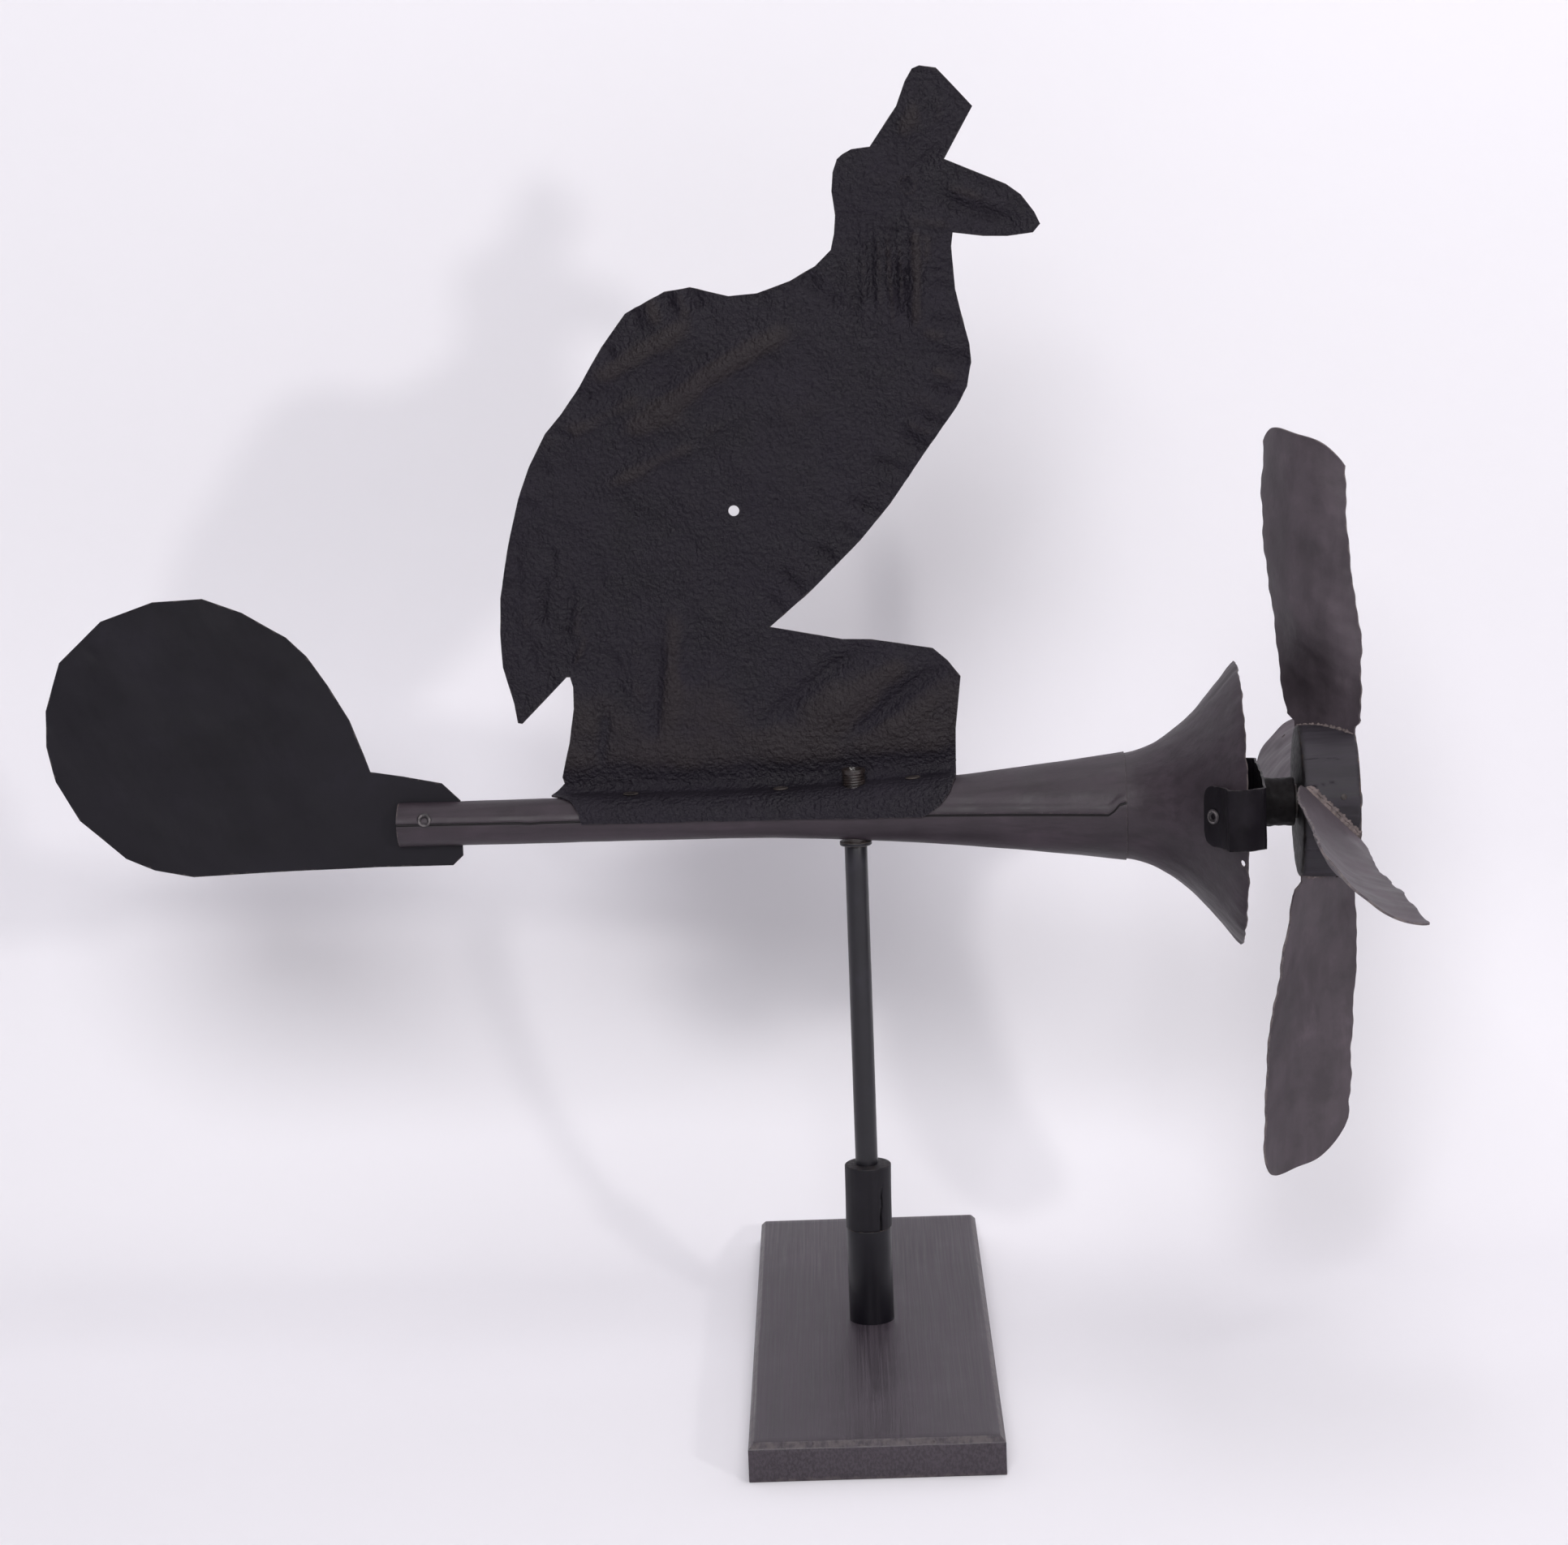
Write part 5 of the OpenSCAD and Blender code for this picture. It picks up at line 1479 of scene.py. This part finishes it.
class WHIRLIGIG_OT_stage(bpy.types.Operator):
    """Makes the pale sweep behind and under the whirligig, the soft lights and the camera"""

    bl_idname = "whirligig.stage"
    bl_label = "Stage, Lights and Camera"

    def execute(self, context):
        self.backdrop()
        self.lights(context.scene)
        self.camera(context.scene)
        return {"FINISHED"}

    def backdrop(self):
        front, back, bend, top, half = -6.0, 0.36, 0.22, 4.0, 6.0
        profile = [(front, 0.0), (-1.0, 0.0), (back - bend, 0.0)]
        profile += [(back - bend + bend * math.sin(a), bend - bend * math.cos(a))
                    for a in np.linspace(0, math.pi / 2, 24)[1:]]
        profile += [(back, top)]
        verts, faces = [], []
        for y, z in profile:
            verts += [(-half, y, z), (half, y, z)]
        for k in range(len(profile) - 1):
            faces.append((2 * k, 2 * k + 1, 2 * k + 3, 2 * k + 2))
        mesh = bpy.data.meshes.new("studio_sweep")
        mesh.from_pydata(verts, [], faces)
        mesh.polygons.foreach_set("use_smooth", [True] * len(faces))
        material, tree, shader = finish_material("pale_paper", 0.9, specular=0.0)
        skin = effect(tree, "Mottle", Colour=opaque(colours().backdrop),
                      Dark=opaque(colours().backdrop, 0.985),
                      Light=opaque(colours().backdrop, 1.01), Patch_Size=3.0, Patchiness=0.3, Specks=0.02)
        tree.links.new(skin.outputs["Colour"], shader.inputs["Base Color"])
        # Seen from behind, the sweep is clear
        clear = tree.nodes.new("ShaderNodeBsdfTransparent")
        either = tree.nodes.new("ShaderNodeMixShader")
        facing = tree.nodes.new("ShaderNodeNewGeometry")
        tree.links.new(facing.outputs["Backfacing"], either.inputs[0])
        tree.links.new(shader.outputs[0], either.inputs[1])
        tree.links.new(clear.outputs[0], either.inputs[2])
        tree.links.new(either.outputs[0], tree.nodes["Material Output"].inputs["Surface"])
        mesh.materials.append(material)
        sweep = bpy.data.objects.new("studio_sweep", mesh)
        bpy.context.scene.collection.objects.link(sweep)

    def lights(self, scene):
        world = bpy.data.worlds.new("studio_air")
        scene.world = world
        world.use_nodes = True
        world.node_tree.nodes["Background"].inputs[0].default_value = (0.97, 0.95, 1.0, 1)
        world.node_tree.nodes["Background"].inputs[1].default_value = 0.16
        for name, at, target, size, power, tint in (
                ("key_lamp", (1.68, -2.39, 1.07), (0.0, 0.0, 0.4), 0.20, 17.0, (1.0, 0.97, 0.96)),
                ("front_softbox", (-0.3, -3.2, 2.2), (0.05, 0.3, 0.35), 1.5, 72.0, (0.99, 0.975, 1.0)),
                ("top_softbox", (0.35, -0.35, 2.3), (0.0, 0.1, 0.3), 1.3, 12.0, (1.0, 0.97, 1.0)),
                ("wall_wash", (0.4, 0.25, 2.5), (0.2, 0.7, 0.0), 1.6, 7.0, (0.99, 0.97, 1.0))):
            lamp = bpy.data.lights.new(name, "AREA")
            lamp.shape, lamp.size, lamp.energy, lamp.color = "DISK", size, power, tint
            light = bpy.data.objects.new(name, lamp)
            light.location = at
            aim = Vector(target) - Vector(at)
            light.rotation_euler = aim.to_track_quat("-Z", "Y").to_euler()
            scene.collection.objects.link(light)

    def camera(self, scene):
        pitch, yaw, roll = 0.178, 0.0191, -0.0379
        ahead = Vector((-math.sin(yaw), math.cos(yaw), 0))
        right = Vector((math.cos(yaw), math.sin(yaw), 0))
        up = Vector((0, 0, 1))
        view = ahead * math.cos(pitch) - up * math.sin(pitch)
        over = up * math.cos(pitch) + ahead * math.sin(pitch)
        across = right * math.cos(roll) + over * math.sin(roll)
        over = over * math.cos(roll) - right * math.sin(roll)
        lens = bpy.data.cameras.new("camera")
        lens.lens, lens.sensor_width, lens.sensor_fit = 78.1, 36.0, "HORIZONTAL"
        lens.clip_start, lens.clip_end = 0.05, 50.0
        camera = bpy.data.objects.new("camera", lens)
        camera.matrix_world = Matrix.Translation((-0.003, -1.8636, 0.6755)) @ Matrix(
            (across, over, -view)).transposed().to_4x4()
        scene.collection.objects.link(camera)
        scene.camera = camera
        scene.view_settings.view_transform = "Standard"


class WHIRLIGIG_PT_panel(bpy.types.Panel):
    """Lists the whirligig's pieces, sizes and colours"""

    bl_idname = "WHIRLIGIG_PT_panel"
    bl_label = "Sheet-Iron Whirligig"
    bl_space_type = "VIEW_3D"
    bl_region_type = "UI"
    bl_category = "Whirligig"

    def draw(self, context):
        layout = self.layout
        pieces = layout.box()
        pieces.label(text="Pieces")
        for operator in OPERATORS:
            pieces.operator(operator.bl_idname)
        for title, group in (("Sizes", context.scene.whirligig_sizes),
                             ("Colours", context.scene.whirligig_colours)):
            box = layout.box()
            box.label(text=title)
            for label in group.__annotations__:
                box.prop(group, label)


OPERATORS = (
    WHIRLIGIG_OT_base_board, WHIRLIGIG_OT_post, WHIRLIGIG_OT_underside, WHIRLIGIG_OT_pivot,
    WHIRLIGIG_OT_horn_tube, WHIRLIGIG_OT_horn_bell, WHIRLIGIG_OT_strap, WHIRLIGIG_OT_rivets,
    WHIRLIGIG_OT_bird,
    WHIRLIGIG_OT_tail_vane, WHIRLIGIG_OT_axle, WHIRLIGIG_OT_hub, WHIRLIGIG_OT_blades, WHIRLIGIG_OT_stage,
)
CLASSES = (WhirligigSizes, WhirligigColours, *OPERATORS, WHIRLIGIG_PT_panel)


def register():
    for cls in CLASSES:
        bpy.utils.register_class(cls)
    bpy.types.Scene.whirligig_sizes = PointerProperty(type=WhirligigSizes)
    bpy.types.Scene.whirligig_colours = PointerProperty(type=WhirligigColours)


def unregister():
    del bpy.types.Scene.whirligig_colours
    del bpy.types.Scene.whirligig_sizes
    for cls in reversed(CLASSES):
        bpy.utils.unregister_class(cls)


def main():
    register()
    for operator in OPERATORS:
        module, name = operator.bl_idname.split(".")
        getattr(getattr(bpy.ops, module), name)()


if __name__ == "__main__":
    main()
